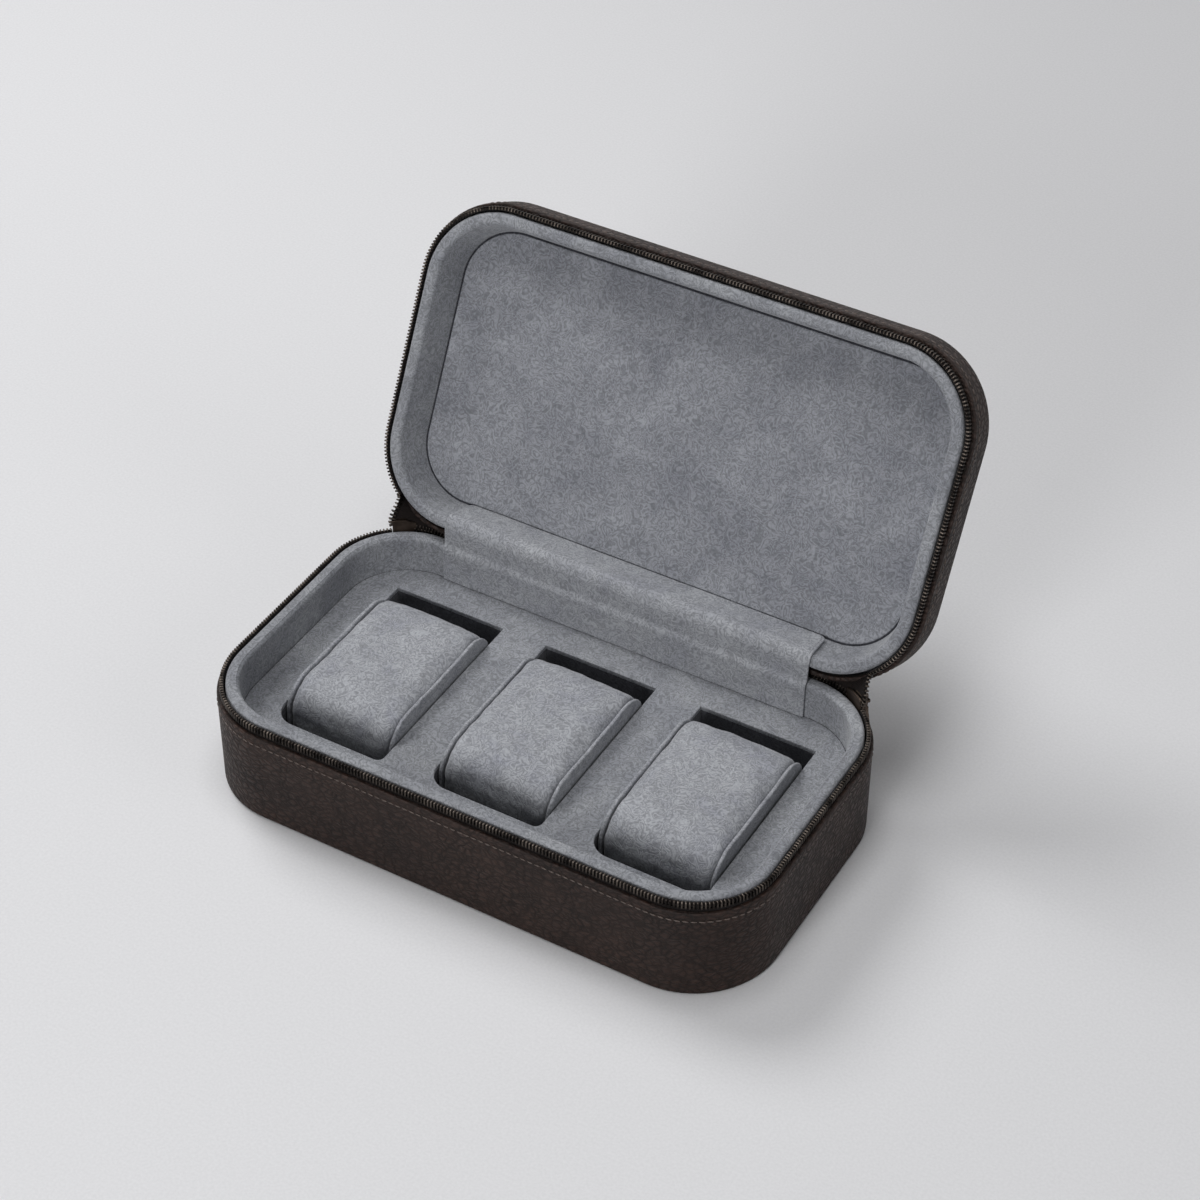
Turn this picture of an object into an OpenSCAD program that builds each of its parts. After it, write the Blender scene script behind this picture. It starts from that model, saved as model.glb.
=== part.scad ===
// Zip-around travel case for three watches, shown open.
// Origin: centre of the flat bottom. X runs along the hinge, the hinge is at the back (+Y), Z is up.

/* [Case] */
// Outer width along the hinge
case_w = 240; // [230:1:270]
// Outer depth, front to hinge
case_d = 137; // [134:1:160]
// Outer corner radius in plan
corner_r = 35.5; // [33:0.5:42]
// Height of the lower half, bottom to suede rim
base_h = 46.2; // [44:0.2:56]
// Height of the upper half, suede rim to top
lid_h = 22; // [21:0.5:30]
// Gap between the two suede rims when the case is shut
rim_gap = 0.45; // [0.3:0.05:1]

/* [Leather] */
// Thickness of the outer leather
leather_t = 1.2; // [0.8:0.1:1.4]
// Extra thickness where the leather edge is turned in
turn_t = 0.6; // [0.3:0.1:0.7]
// Width of the turned-in edge
turn_h = 7; // [5:0.5:9]
// Distance from the suede rim down to the leather edge
zip_reveal = 4.2; // [3.8:0.1:6]
// Thickness of the leather-wrapped bottom
bottom_t = 1.5; // [1.2:0.1:3]
// Radius of the bottom's lower edge
bottom_edge_r = 1.2; // [0.5:0.1:1.2]
// Radius of the lid's upper edge
top_edge_r = 4; // [3:0.25:6]

/* [Shell] */
// Thickness of the stiff board
board_t = 1.8; // [1.2:0.1:2.2]
// Distance from the outer leather face to the suede rim
rim_in = 3.5; // [3.5:0.1:4.5]
// Width of the padded suede rim
rim_w = 5.3; // [5:0.1:7]
// Radius of the rim's round edges
rim_edge_r = 1.7; // [0.8:0.1:2]
// Thickness of the suede skin outside the board
rim_skin_t = 0.9; // [0.6:0.1:1.2]
// Padding on top of the board's edge
rim_cap_t = 2.5; // [2:0.1:3.5]
// Height of the rim's outer leg
rim_leg_h = 16; // [12:0.5:18]

/* [Tray] */
// Height of the tray deck above the table
deck_z = 29.7; // [26:0.1:33]
// Thickness of the deck
deck_t = 2; // [1.5:0.1:3]
// Number of wells
well_n = 3; // [3:1:3]
// Ledge between an outer well and the tray's end
well_side = 16.2; // [14:0.1:22]
// Width of the rib between two wells
well_rib = 20; // [14:0.5:24]
// Ledge between a well and the tray's front and back
well_end = 15.2; // [13:0.1:20]
// Wall thickness of a well liner
well_t = 1.2; // [0.8:0.1:1.8]
// Radius of the deck's edge at a well's front left corner
well_left_r = 9; // [3:0.5:10]
// Radius of the deck's edge at a well's front right corner
well_right_r = 3; // [1:0.5:10]

/* [Cushion] */
// Gap between a cushion and its well at the front and back
cushion_end = 8.5; // [4:0.5:12]
// Height of a cushion above the deck
cushion_rise = 9.3; // [6:0.1:12]
// Gap between cushion and well wall on each side
cushion_gap = 0.3; // [0.3:0.05:1.5]
// Gap between cushion and well floor
cushion_seat = 0.2; // [0.1:0.05:0.4]
// Rise of the cushion's top crown
cushion_crown = 1.8; // [0:0.1:3]
// Bulge of a cushion's side panel
cushion_bulge = 1.3; // [0.5:0.1:2.5]
// Radius of the cushion's end rounding
cushion_end_r = 12; // [8:0.5:14]
// Depth of the seam groove along the side panels
seam_depth = 0.35; // [0:0.05:0.6]

/* [Lid] */
// Depth from the lid's rim to its padded panel
panel_depth = 15.5; // [12:0.5:15.5]
// Extra inset of the panel behind the rim's inner edge
panel_in = 3.3; // [2:0.1:5]
// Thickness of the padded panel
panel_t = 1.4; // [1:0.1:1.4]
// Radius of the panel's face edge
panel_edge_r = 0.9; // [0.3:0.1:0.9]
// Thickness of the leather cap's top
cap_t = 1.2; // [0.8:0.1:1.6]
// Thickness of the foam sheet under the cap
lid_pad_t = 2; // [1:0.1:2.5]
// Opening angle of the lid, from shut to its stop
open_angle = 117; // [100:1:117]

/* [Hinge] */
// Distance of the hinge line from the back face
hinge_in = 3.3; // [3:0.1:4]
// Height of the hinge line above the lower rim
hinge_up = 5.2; // [4.8:0.1:5.6]
// Thickness of the leather spine
spine_t = 0.9; // [0.6:0.1:1]
// Thickness of the suede flap
flap_t = 1.2; // [0.8:0.1:1.4]
// Width left free between the flap and each rear corner's straight end
flap_side = 2.5; // [1:0.5:8]

/* [Zip] */
// Distance from the outer leather face to the zip tape
tape_in = 1.9; // [1.9:0.05:2]
// Thickness of the zip tape
tape_t = 0.6; // [0.4:0.05:0.8]
// Depth of the tape behind the leather edge
tape_tuck = 6; // [4:0.5:6]
// Pitch of the teeth on one side
tooth_pitch = 1.4; // [1.3:0.05:2]
// Height of the teeth
tooth_h = 2.7; // [2:0.1:3]
// How far a tooth stands out of its cord
tooth_out = 0.8; // [0.5:0.05:0.9]
// Thickness of the cord that carries the teeth
cord_t = 1; // [0.7:0.05:1.2]
// Gap between a half's teeth and the zip's middle
tooth_gap = 0.1; // [0.05:0.05:0.3]
// Angle round the rear corner at which a slider is parked
slider_angle = 32; // [30:1:45]

/* [Slider] */
// Length of a slider
slider_l = 9.6; // [8:0.2:11]
// Width of a slider
slider_w = 8; // [7:0.1:8]
// Thickness of a slider plate
plate_t = 0.65; // [0.5:0.05:0.7]
// Free height between a slider's plates
channel_h = 2; // [1.8:0.05:2.1]
// Distance from the outer plate to the bridge's middle
bridge_up = 1.95; // [1.9:0.05:2.6]
// Diameter of the bridge bar
bridge_d = 1.2; // [1:0.1:1.4]
// Diameter of the pull link's wire
link_d = 1; // [0.8:0.05:1.1]
// Length of the link between its end arcs
link_l = 4.5; // [4:0.1:7]
// Length of the pull tab
tab_l = 24; // [18:0.5:30]
// Width of the pull tab
tab_w = 7.5; // [6:0.25:9]
// Thickness of the pull tab
tab_t = 1.6; // [1.2:0.1:1.8]

/* [Hidden] */
$fn = 96;

leather_col = "#3a2a26";
suede_col = "#84868d";
panel_col = "#8b8d94";
board_col = "#6f6250";
foam_col = "#2b2b2e";
tape_col = "#1b1716";
metal_col = "#4a3d33";
cushion_col = "#8f9198";

// clearance between pieces that are glued face to face
glue = 0.05;
arc_steps = 6;
// overlap of a plate with its round edge, inside one piece
seam_lap = 1;
// plan outline
half_w = case_w / 2;
half_d = case_d / 2;
run_w = half_w - corner_r;
run_d = half_d - corner_r;
// heights in the lower half
leather_z = base_h - zip_reveal;
wall_z0 = bottom_t + glue;
floor_z = wall_z0 + board_t;
rim_leg_z = base_h - rim_leg_h;
board_top = base_h - rim_cap_t;
tuck_z = leather_z - tape_tuck;
cord_z = base_h - tooth_gap - tooth_h;
zip_mid = base_h + rim_gap / 2;
// insets from the outer face
turn_in = leather_t + turn_t;
board_in = rim_in + rim_skin_t;
board_end = board_in + board_t;
rim_end = rim_in + rim_w;
foam_in = leather_t + glue;
// tray
liner_z = floor_z + glue;
well_floor = liner_z + well_t;
deck_low = deck_z - deck_t;
tray_gap = 0.15;
well_w = (2 * (half_w - rim_end - well_side) - (well_n - 1) * well_rib) / well_n;
well_l = 2 * (half_d - rim_end - well_end);
well_pitch = well_w + well_rib;
// cushion
cushion_w = well_w - 2 * cushion_gap;
cushion_l = well_l - 2 * cushion_end;
cushion_z0 = well_floor + cushion_seat;
cushion_top = deck_z + cushion_rise;
cushion_h = cushion_top - cushion_crown - cushion_z0;
// lid, measured from its own rim plane
lid_z = base_h + rim_gap;
cap_low = lid_h - top_edge_r;
lid_board_top = lid_h - cap_t - lid_pad_t;
lid_leg_z = cap_low - 4;
panel_end = rim_end + panel_in;
panel_gap = 0.25;
// hinge line
hinge_y = half_d - hinge_in;
hinge_z = base_h + hinge_up;

// Points of an arc from angle a0 to a1, on a centre
function arc(cx, cy, r, a0, a1, n = arc_steps) =
    [for (i = [0:n]) let (a = a0 + (a1 - a0) * i / n) [cx + r * cos(a), cy + r * sin(a)]];

// A point given in the shut lid's Y and Z, moved to the open lid
function lid_point(v, n) =
    let (dy = half_d - v - hinge_y, dz = lid_z + n - hinge_z, a = -open_angle)
    [hinge_y + dy * cos(a) - dz * sin(a), hinge_z + dy * sin(a) + dz * cos(a)];

// Sweeps a profile round the case's plan; the profile's x is the distance in from the outer face
module ring_sweep() {
    for (sx = [0, 1], sy = [0, 1])
        mirror([sx, 0, 0]) mirror([0, sy, 0])
            translate([run_w, run_d, 0])
                rotate_extrude(angle = 90)
                    translate([corner_r, 0]) mirror([1, 0]) children();
    for (sx = [0, 1])
        mirror([sx, 0, 0]) translate([0, run_d, 0]) rotate([90, 0, 0])
            linear_extrude(2 * run_d)
                translate([half_w, 0]) mirror([1, 0]) children();
    for (sy = [0, 1])
        mirror([0, sy, 0]) translate([-run_w, 0, 0]) rotate([90, 0, 90])
            linear_extrude(2 * run_w)
                translate([half_d, 0]) mirror([1, 0]) children();
}

// Flat plate with the case's plan, drawn in by an inset
module plan_plate(inset, h) {
    r = corner_r - inset;
    linear_extrude(h) {
        for (sx = [-1, 1], sy = [-1, 1])
            translate([sx * run_w, sy * run_d]) circle(r);
        square([2 * (run_w + r), 2 * run_d], center = true);
        square([2 * run_w, 2 * (run_d + r)], center = true);
    }
}

// Turns lid geometry, drawn with its rim plane at z = 0, to the open lid
module in_open_lid() {
    translate([0, hinge_y, hinge_z]) rotate([-open_angle, 0, 0])
        translate([0, -hinge_y, lid_z - hinge_z]) children();
}

// Leather side wall: thicker where its edge is turned in below the zip
module leather_profile(low, edge) {
    s = sign(edge - low);
    polygon([[0, low], [0, edge - s * turn_t], [turn_t * 0.4, edge - s * turn_t * 0.2],
             [turn_t, edge], [turn_in - 0.2, edge], [turn_in, edge - s * 0.2],
             [turn_in, edge - s * turn_h], [leather_t, edge - s * (turn_h + turn_t)],
             [leather_t, low]]);
}

// Strip of even thickness along a line of points in the Y-Z plane
function side(p, i) =
    let (n = len(p), a = p[max(i - 1, 0)], b = p[min(i + 1, n - 1)], d = b - a)
    [-d[1], d[0]] / norm(d);
function strip_points(p, t) = concat(
    [for (i = [0:len(p) - 1]) p[i] + side(p, i) * t / 2],
    [for (i = [len(p) - 1:-1:0]) p[i] - side(p, i) * t / 2]);
module strip(p, t, w) {
    translate([-w / 2, 0, 0]) rotate([90, 0, 90])
        linear_extrude(w) polygon(strip_points(p, t));
}

// ---------------------------------------------------------------- lower half

module base_leather_bottom() {
    color(leather_col) {
        plan_plate(bottom_edge_r + seam_lap / 2, bottom_t);
        ring_sweep() polygon(concat(
            [[bottom_edge_r + seam_lap, bottom_t], [0, bottom_t]],
            arc(bottom_edge_r, bottom_edge_r, bottom_edge_r, 180, 270),
            [[bottom_edge_r + seam_lap, 0]]));
    }
}

module base_leather_wall() {
    color(leather_col) ring_sweep() leather_profile(wall_z0, leather_z);
}

module base_foam() {
    color(foam_col) ring_sweep()
        polygon([[foam_in, wall_z0], [board_in - glue, wall_z0],
                 [board_in - glue, rim_leg_z - glue], [rim_in - glue, rim_leg_z - glue],
                 [rim_in - glue, tuck_z - glue], [turn_in + glue, tuck_z - glue],
                 [turn_in + glue, leather_z - turn_h - turn_t - glue],
                 [foam_in, leather_z - turn_h - turn_t - glue]]);
}

module base_board() {
    color(board_col) {
        ring_sweep() polygon([[board_in, wall_z0], [board_end, wall_z0],
                              [board_end, board_top - glue], [board_in, board_top - glue]]);
        translate([0, 0, wall_z0]) plan_plate(board_end - seam_lap / 2, board_t);
    }
}

// Padded wall that straps over the board: outer leg, round cap, inner leg
module rim_profile(cap_z, leg_z, foot_z, foot_in) {
    s = sign(cap_z - leg_z);
    t_in = s > 0 ? board_top : rim_cap_t;
    r = rim_edge_r;
    polygon(concat(
        [[board_in - glue, leg_z], [rim_in, leg_z]],
        arc(rim_in + r, cap_z - s * r, r, 180, 180 - s * 90),
        arc(rim_end - r, cap_z - s * r, r, 180 - s * 90, 180 - s * 180),
        [[foot_in, foot_z], [board_end + glue, foot_z],
         [board_end + glue, t_in], [board_in - glue, t_in]]));
}

module base_rim_liner() {
    color(suede_col) ring_sweep() rim_profile(base_h, rim_leg_z, liner_z, rim_end);
}

module tray_foam() {
    color(foam_col) difference() {
        translate([0, 0, liner_z])
            plan_plate(rim_end + tray_gap, deck_low - glue - liner_z);
        for (i = [0:well_n - 1])
            well_at(i) translate([0, 0, liner_z - 1])
                box(well_w + 2 * (well_t + glue), well_l + 2 * (well_t + glue), deck_z);
    }
}

module box(w, l, h) {
    translate([-w / 2, -l / 2, 0]) cube([w, l, h]);
}

module well_at(i) {
    translate([(i - (well_n - 1) / 2) * well_pitch, 0, 0]) children();
}

// The deck's opening over a well, with its two front corners rounded
module well_mouth() {
    front = -well_l / 2;
    split = (well_left_r - well_right_r) / 2;
    linear_extrude(deck_t + 2) {
        translate([-well_w / 2, front + well_left_r]) square([well_w / 2 + split, well_l - well_left_r]);
        translate([split, front + well_right_r]) square([well_w / 2 - split, well_l - well_right_r]);
        translate([well_left_r - well_w / 2, front])
            square([well_w - well_left_r - well_right_r, well_l / 2]);
        translate([well_left_r - well_w / 2, front + well_left_r]) circle(well_left_r);
        translate([well_w / 2 - well_right_r, front + well_right_r]) circle(well_right_r);
    }
}

module tray_deck() {
    color(suede_col) difference() {
        translate([0, 0, deck_low]) plan_plate(rim_end + tray_gap, deck_t);
        for (i = [0:well_n - 1])
            well_at(i) translate([0, 0, deck_low - 1]) well_mouth();
    }
}

module well_liner(i) {
    color(suede_col) well_at(i) translate([0, 0, liner_z]) difference() {
        box(well_w + 2 * well_t, well_l + 2 * well_t, deck_low - glue - liner_z);
        translate([0, 0, well_t]) box(well_w, well_l, deck_z);
    }
}

// ---------------------------------------------------------------- upper half

module lid_leather_top() {
    color(leather_col) in_open_lid() {
        translate([0, 0, lid_h - cap_t]) plan_plate(top_edge_r + seam_lap / 2, cap_t);
        ring_sweep() polygon(concat(
            arc(top_edge_r, cap_low, top_edge_r, 180, 90),
            [[top_edge_r + seam_lap, lid_h], [top_edge_r + seam_lap, lid_h - cap_t]],
            arc(top_edge_r, cap_low, top_edge_r - cap_t, 90, 180)));
    }
}

module lid_leather_wall() {
    color(leather_col) in_open_lid() ring_sweep() leather_profile(cap_low - glue, zip_reveal);
}

module lid_foam() {
    low = zip_reveal + tape_tuck + glue;
    turn = zip_reveal + turn_h + turn_t + glue;
    color(foam_col) in_open_lid() ring_sweep()
        polygon([[turn_in + glue, low], [rim_in - glue, low],
                 [rim_in - glue, lid_leg_z + glue], [board_in - glue, lid_leg_z + glue],
                 [board_in - glue, cap_low - glue],
                 [foam_in, cap_low - glue], [foam_in, turn], [turn_in + glue, turn]]);
}

// Foam sheet between the board and the leather cap
module lid_pad() {
    color(foam_col) in_open_lid() translate([0, 0, lid_board_top + glue])
        plan_plate(board_in, lid_pad_t - 2 * glue);
}

module lid_board() {
    color(board_col) in_open_lid() {
        ring_sweep() polygon([[board_in, rim_cap_t + glue], [board_end, rim_cap_t + glue],
                              [board_end, lid_board_top], [board_in, lid_board_top]]);
        translate([0, 0, lid_board_top - board_t]) plan_plate(board_end - seam_lap / 2, board_t);
    }
}

module lid_rim_liner() {
    color(suede_col) in_open_lid() ring_sweep()
        rim_profile(0, lid_leg_z, panel_depth + panel_t, panel_end);
}

module lid_panel() {
    inset = panel_end + panel_gap;
    color(panel_col) in_open_lid() {
        translate([0, 0, panel_depth]) plan_plate(inset + panel_edge_r + seam_lap / 2, panel_t);
        ring_sweep() polygon(concat(
            [[inset + panel_edge_r + seam_lap, panel_depth + panel_t],
             [inset, panel_depth + panel_t]],
            arc(inset + panel_edge_r, panel_depth + panel_edge_r, panel_edge_r, 180, 270),
            [[inset + panel_edge_r + seam_lap, panel_depth]]));
    }
}

// ---------------------------------------------------------------- zip

zip_end_h = zip_reveal + 0.6;
// half the width of the bridge that a pull hangs on
bridge_half = slider_l * 0.27;
// angle round a rear corner, from the back, at which the teeth begin
slider_r = corner_r - turn_in;
slider_half = asin((slider_l / 2 + 0.3) / slider_r);
teeth_angle = slider_angle + slider_half;
tail_angle = slider_angle - slider_half;

// Place and outward direction at a distance along the zip, inset from the outer face
function zip_lengths(r) = let (a = 90 - teeth_angle)
    [a * PI / 180 * r, 2 * run_d, PI / 2 * r, 2 * run_w, PI / 2 * r, 2 * run_d, a * PI / 180 * r];
function zip_starts(l) = [0, l[0], l[0] + l[1], l[0] + l[1] + l[2], l[0] + l[1] + l[2] + l[3],
    l[0] + l[1] + l[2] + l[3] + l[4], l[0] + l[1] + l[2] + l[3] + l[4] + l[5]];
function on_arc(cx, cy, a, r) = [[cx + r * cos(a), cy + r * sin(a)], [cos(a), sin(a)]];
function zip_at(s, r, l, b) = let (deg = 180 / PI / r)
    s < b[1] ? on_arc(-run_w, run_d, 90 + teeth_angle + s * deg, r)
    : s < b[2] ? [[-run_w - r, run_d - (s - b[1])], [-1, 0]]
    : s < b[3] ? on_arc(-run_w, -run_d, 180 + (s - b[2]) * deg, r)
    : s < b[4] ? [[-run_w + (s - b[3]), -run_d - r], [0, -1]]
    : s < b[5] ? on_arc(run_w, -run_d, 270 + (s - b[4]) * deg, r)
    : s < b[6] ? [[run_w + r, -run_d + (s - b[5])], [1, 0]]
    : on_arc(run_w, run_d, (s - b[6]) * deg, r);

tooth_r = corner_r - tape_in;
tooth_lens = zip_lengths(tooth_r);
tooth_starts = zip_starts(tooth_lens);
zip_len = tooth_starts[6] + tooth_lens[6];
tooth_n = floor(zip_len / tooth_pitch);
tooth_step = zip_len / tooth_n;
// a tooth's foot and head as shares of one pitch
tooth_marks = [[0.12, 0], [0.2, 1], [0.62, 1], [0.7, 0]];

function zip_point(s, out) =
    let (p = zip_at(min(s, zip_len - 0.001), tooth_r, tooth_lens, tooth_starts)) p[0] + p[1] * out;

// Distances along the zip at which its plain sides turn: steps round a corner, ends of a straight
corner_steps = 12;
plain_marks = concat(
    [for (i = [0:6], j = [0:(i % 2 == 0 ? corner_steps - 1 : 0)])
        tooth_starts[i] + tooth_lens[i] * j / corner_steps], [zip_len]);
function plain_side(out) = [for (s = plain_marks) zip_point(s, out)];
function back_side(out) = [for (i = [len(plain_marks) - 1:-1:0]) zip_point(plain_marks[i], out)];

// Cord with a row of teeth, cut through the plan
module teeth_plan() {
    outer = [for (i = [0:tooth_n - 1], m = tooth_marks)
        zip_point((i + m[0]) * tooth_step, m[1] * tooth_out)];
    polygon(concat([zip_point(0, 0)], outer, [zip_point(zip_len, 0)], back_side(-cord_t)));
}

// Tape: the teeth's path without teeth
module tape_plan() {
    polygon(concat(plain_side(0), back_side(-tape_t)));
}

module zip_tape_base() {
    color(tape_col) translate([0, 0, tuck_z]) linear_extrude(cord_z - tuck_z) tape_plan();
}

module zip_teeth_base() {
    color(metal_col) translate([0, 0, cord_z]) linear_extrude(tooth_h) teeth_plan();
}

module zip_tape_lid() {
    low = tooth_gap + tooth_h;
    color(tape_col) in_open_lid() translate([0, 0, low])
        linear_extrude(zip_reveal + tape_tuck - low) tape_plan();
}

module zip_teeth_lid() {
    color(metal_col) in_open_lid() translate([0, 0, tooth_gap]) linear_extrude(tooth_h) teeth_plan();
}

// Closed end of the zip, from the slider's tail to the end of the straight back
module zip_end() {
    r1 = corner_r - tape_in;
    r0 = r1 - tape_t;
    a = 90 + tail_angle;
    color(tape_col) translate([0, 0, leather_z + spine_gap]) linear_extrude(zip_end_h)
        polygon(concat(arc(-run_w, run_d, r1, 90, a, 10), arc(-run_w, run_d, r0, a, 90, 10)));
}

// Slider, drawn with x along the chain (nose at -x), y outward from the leather's face
module slider() {
    half = slider_w / 2;
    tail = half * 0.72;
    nose = half * 0.88;
    shape = [[-slider_l / 2, -nose], [-slider_l * 0.38, -half], [slider_l * 0.1, -half],
             [slider_l * 0.34, -half * 0.85], [slider_l / 2, -tail], [slider_l / 2, tail],
             [slider_l * 0.34, half * 0.85], [slider_l * 0.1, half],
             [-slider_l * 0.38, half], [-slider_l / 2, nose]];
    flange = 0.7;
    slot = tape_t + 0.25;
    slot_y = -(tape_in + tape_t / 2);
    wedge_x = -slider_l / 2 + 0.2;
    wedge_half = slider_w * 0.2;
    color(metal_col) {
        for (y = [0, -plate_t - channel_h])
            translate([0, y, 0]) rotate([90, 0, 0]) linear_extrude(plate_t) polygon(shape);
        difference() {
            rotate([90, 0, 0]) linear_extrude(2 * plate_t + channel_h) polygon(shape);
            translate([-slider_l, -plate_t - channel_h, -half + flange])
                cube([2 * slider_l, channel_h, slider_w - 2 * flange]);
            translate([-slider_l, slot_y - slot / 2, -slider_w])
                cube([2 * slider_l, slot, 2 * slider_w]);
            translate([slider_l * 0.1, -plate_t - channel_h, -half])
                cube([slider_l, channel_h, slider_w]);
        }
        // wedge that parts the teeth
        translate([wedge_x, -plate_t, 0]) rotate([90, 0, 0]) linear_extrude(channel_h)
            polygon([[0, -wedge_half], [slider_l / 3, 0], [0, wedge_half]]);
        // bridge for the pull
        translate([-bridge_half, bridge_up, 0]) rotate([0, 90, 0])
            cylinder(d = bridge_d, h = 2 * bridge_half, $fn = 32);
        for (s = [-1, 1])
            translate([s * bridge_half - bridge_d / 2, -plate_t / 2, -bridge_d / 2])
                cube([bridge_d, bridge_up + plate_t / 2 + bridge_d / 2, bridge_d]);
    }
}

// Moves a piece from the slider's own place to the left rear corner
module at_left() {
    translate([-run_w, run_d, zip_mid]) rotate([0, 0, slider_angle])
        translate([0, corner_r, 0]) children();
}
module at_right() {
    mirror([1, 0, 0]) at_left() children();
}

link_r = bridge_d / 2 + link_d / 2 + 0.15;

// Oval wire link that hangs on the bridge bar
module link() {
    color(metal_col) translate([0, bridge_up, 0]) {
        for (s = [-1, 1])
            translate([0, s * link_r, -link_l]) cylinder(d = link_d, h = link_l, $fn = 32);
        rotate([90, 0, 90]) rotate_extrude(angle = 180, $fn = 48)
            translate([link_r, 0]) circle(d = link_d, $fn = 32);
        translate([0, 0, -link_l]) rotate([90, 180, 90]) rotate_extrude(angle = 180, $fn = 48)
            translate([link_r, 0]) circle(d = link_d, $fn = 32);
    }
}

// Pull tab that hangs in the link
module tab() {
    eye_t = 2 * (link_r - link_d / 2) - 0.4;
    bar_low = -link_l - 0.35;
    bar_top = bar_low + 1.2;
    hole_low = -link_l - link_r - link_d / 2 - 0.4;
    body_top = hole_low - 0.4;
    end = bar_top - tab_l;
    color(metal_col) translate([0, bridge_up, 0]) {
        rotate([90, 0, 0]) translate([0, 0, -eye_t / 2]) linear_extrude(eye_t) difference() {
            polygon([[-2.4, bar_top], [2.4, bar_top], [3, body_top - 1], [-3, body_top - 1]]);
            polygon([[-1.2, hole_low], [1.2, hole_low], [1.2, bar_low], [-1.2, bar_low]]);
        }
        rotate([90, 0, 0]) translate([0, 0, -tab_t / 2]) linear_extrude(tab_t)
            polygon(concat([[-2.6, body_top], [-tab_w / 2, body_top - 4]],
                           arc(0, end + tab_w / 2, tab_w / 2, 180, 360, 16),
                           [[tab_w / 2, body_top - 4], [2.6, body_top]]));
    }
}

// ---------------------------------------------------------------- hinge

flap_w = 2 * (run_w - flap_side);
// clearance of the flap from the suede below it, centreline radius of its fold
flap_clear = 0.2;
fold_r = 1;
// clearance at the spine's foot, and its lap on the lid's leather
spine_gap = 0.1;
spine_lap = 2.4;

// A point on a round of radius r in the open lid's section; the angle runs from its rim plane inward
function lid_round(v, n, r, a) = lid_point(v + r * sin(a), n - r * cos(a));

module spine_leather() {
    y0 = half_d - leather_t / 2;
    bend_y = half_d - rim_in + spine_t / 2;
    color(leather_col)
        strip([[y0, leather_z + spine_gap], [y0, leather_z + 2 * spine_gap + spine_t],
               [(y0 + bend_y) / 2 + spine_gap, leather_z + zip_reveal * 0.6],
               [bend_y + spine_gap, base_h + spine_gap],
               lid_point(-spine_t / 2 - glue, zip_reveal + spine_lap)], spine_t, 2 * run_w);
}

// Suede flap: up the lower rear wall, over the rim, down into a fold and on into the open lid
module hinge_flap() {
    off = flap_clear + flap_t / 2;
    wrap_r = rim_edge_r + off;
    round_y = half_d - rim_end + rim_edge_r;
    fold = [round_y, base_h + off + fold_r];
    outer = lid_point(rim_in + rim_edge_r, rim_edge_r);
    reach = outer - fold;
    swing = atan2(reach[1], reach[0]) + asin((fold_r + wrap_r) / norm(reach));
    slope = atan2(panel_in, panel_depth + panel_t - rim_edge_r);
    end_n = panel_depth - 1;
    in_v = rim_end - rim_edge_r;
    color(suede_col) strip(concat(
        [[half_d - rim_end - off, deck_z + flap_clear]],
        arc(round_y, base_h - rim_edge_r, wrap_r, 180, 90, 5),
        [for (i = [1:5]) fold + fold_r * [sin(swing * i / 5), -cos(swing * i / 5)]],
        arc(outer[0], outer[1], wrap_r, swing + 90, 270 - open_angle, 4),
        [for (i = [0:5]) lid_round(in_v, rim_edge_r, wrap_r, (90 - slope) * i / 5)],
        [lid_point(in_v + wrap_r / cos(slope) + (end_n - rim_edge_r) * tan(slope), end_n)]),
        flap_t, flap_w);
}

// ---------------------------------------------------------------- cushions

// Side view of a cushion: round ends, flat foot
function cushion_loop(l, h, r, foot) = concat(
    arc(l / 2 - foot, foot, foot, 270, 360, 4),
    arc(l / 2 - r, h - r, r, 0, 90, 8),
    arc(r - l / 2, h - r, r, 90, 180, 8),
    arc(foot - l / 2, foot, foot, 180, 270, 4));

// Stations across a cushion: [x share, inset of the side view, crown share]
function cushion_stations(w) = let (c = w / 2 - cushion_bulge, b = cushion_bulge)
    concat(
        [[-c - b, 9, 0], [-c - b * 0.85, 4.5, 0], [-c - b * 0.5, 1.6, 0], [-c - b * 0.12, 0.2, 0],
         [-c, seam_depth, 0]],
        [for (t = [-0.97, -0.8, -0.45, 0, 0.45, 0.8, 0.97]) [t * c, 0, 1 - t * t]],
        [[c, seam_depth, 0], [c + b * 0.12, 0.2, 0], [c + b * 0.5, 1.6, 0], [c + b * 0.85, 4.5, 0],
         [c + b, 9, 0]]);

// A ring of the cushion's skin at one station
function cushion_ring(s) =
    let (l = cushion_l - 2 * s[1], h = cushion_h - 2 * s[1],
         p = cushion_loop(l, h, max(cushion_end_r - s[1], 3), 3))
    [for (q = p) let (up = q[1] / h)
        [s[0], q[0], q[1] + s[1] + cushion_crown * s[2] * pow(up, 3)]];

module cushion(i) {
    rings = [for (s = cushion_stations(cushion_w)) cushion_ring(s)];
    n = len(rings[0]);
    m = len(rings);
    points = [for (ring = rings, p = ring) p];
    skin = [for (j = [0:m - 2], k = [0:n - 1]) let (a = j * n + k, b = j * n + (k + 1) % n)
        each [[a, a + n, b + n], [a, b + n, b]]];
    caps = concat([for (k = [1:n - 2]) [0, k, k + 1]],
                  [for (k = [1:n - 2]) [(m - 1) * n, (m - 1) * n + k + 1, (m - 1) * n + k]]);
    color(cushion_col) well_at(i) translate([0, 0, cushion_z0])
        polyhedron(points, concat(skin, caps));
}

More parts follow.
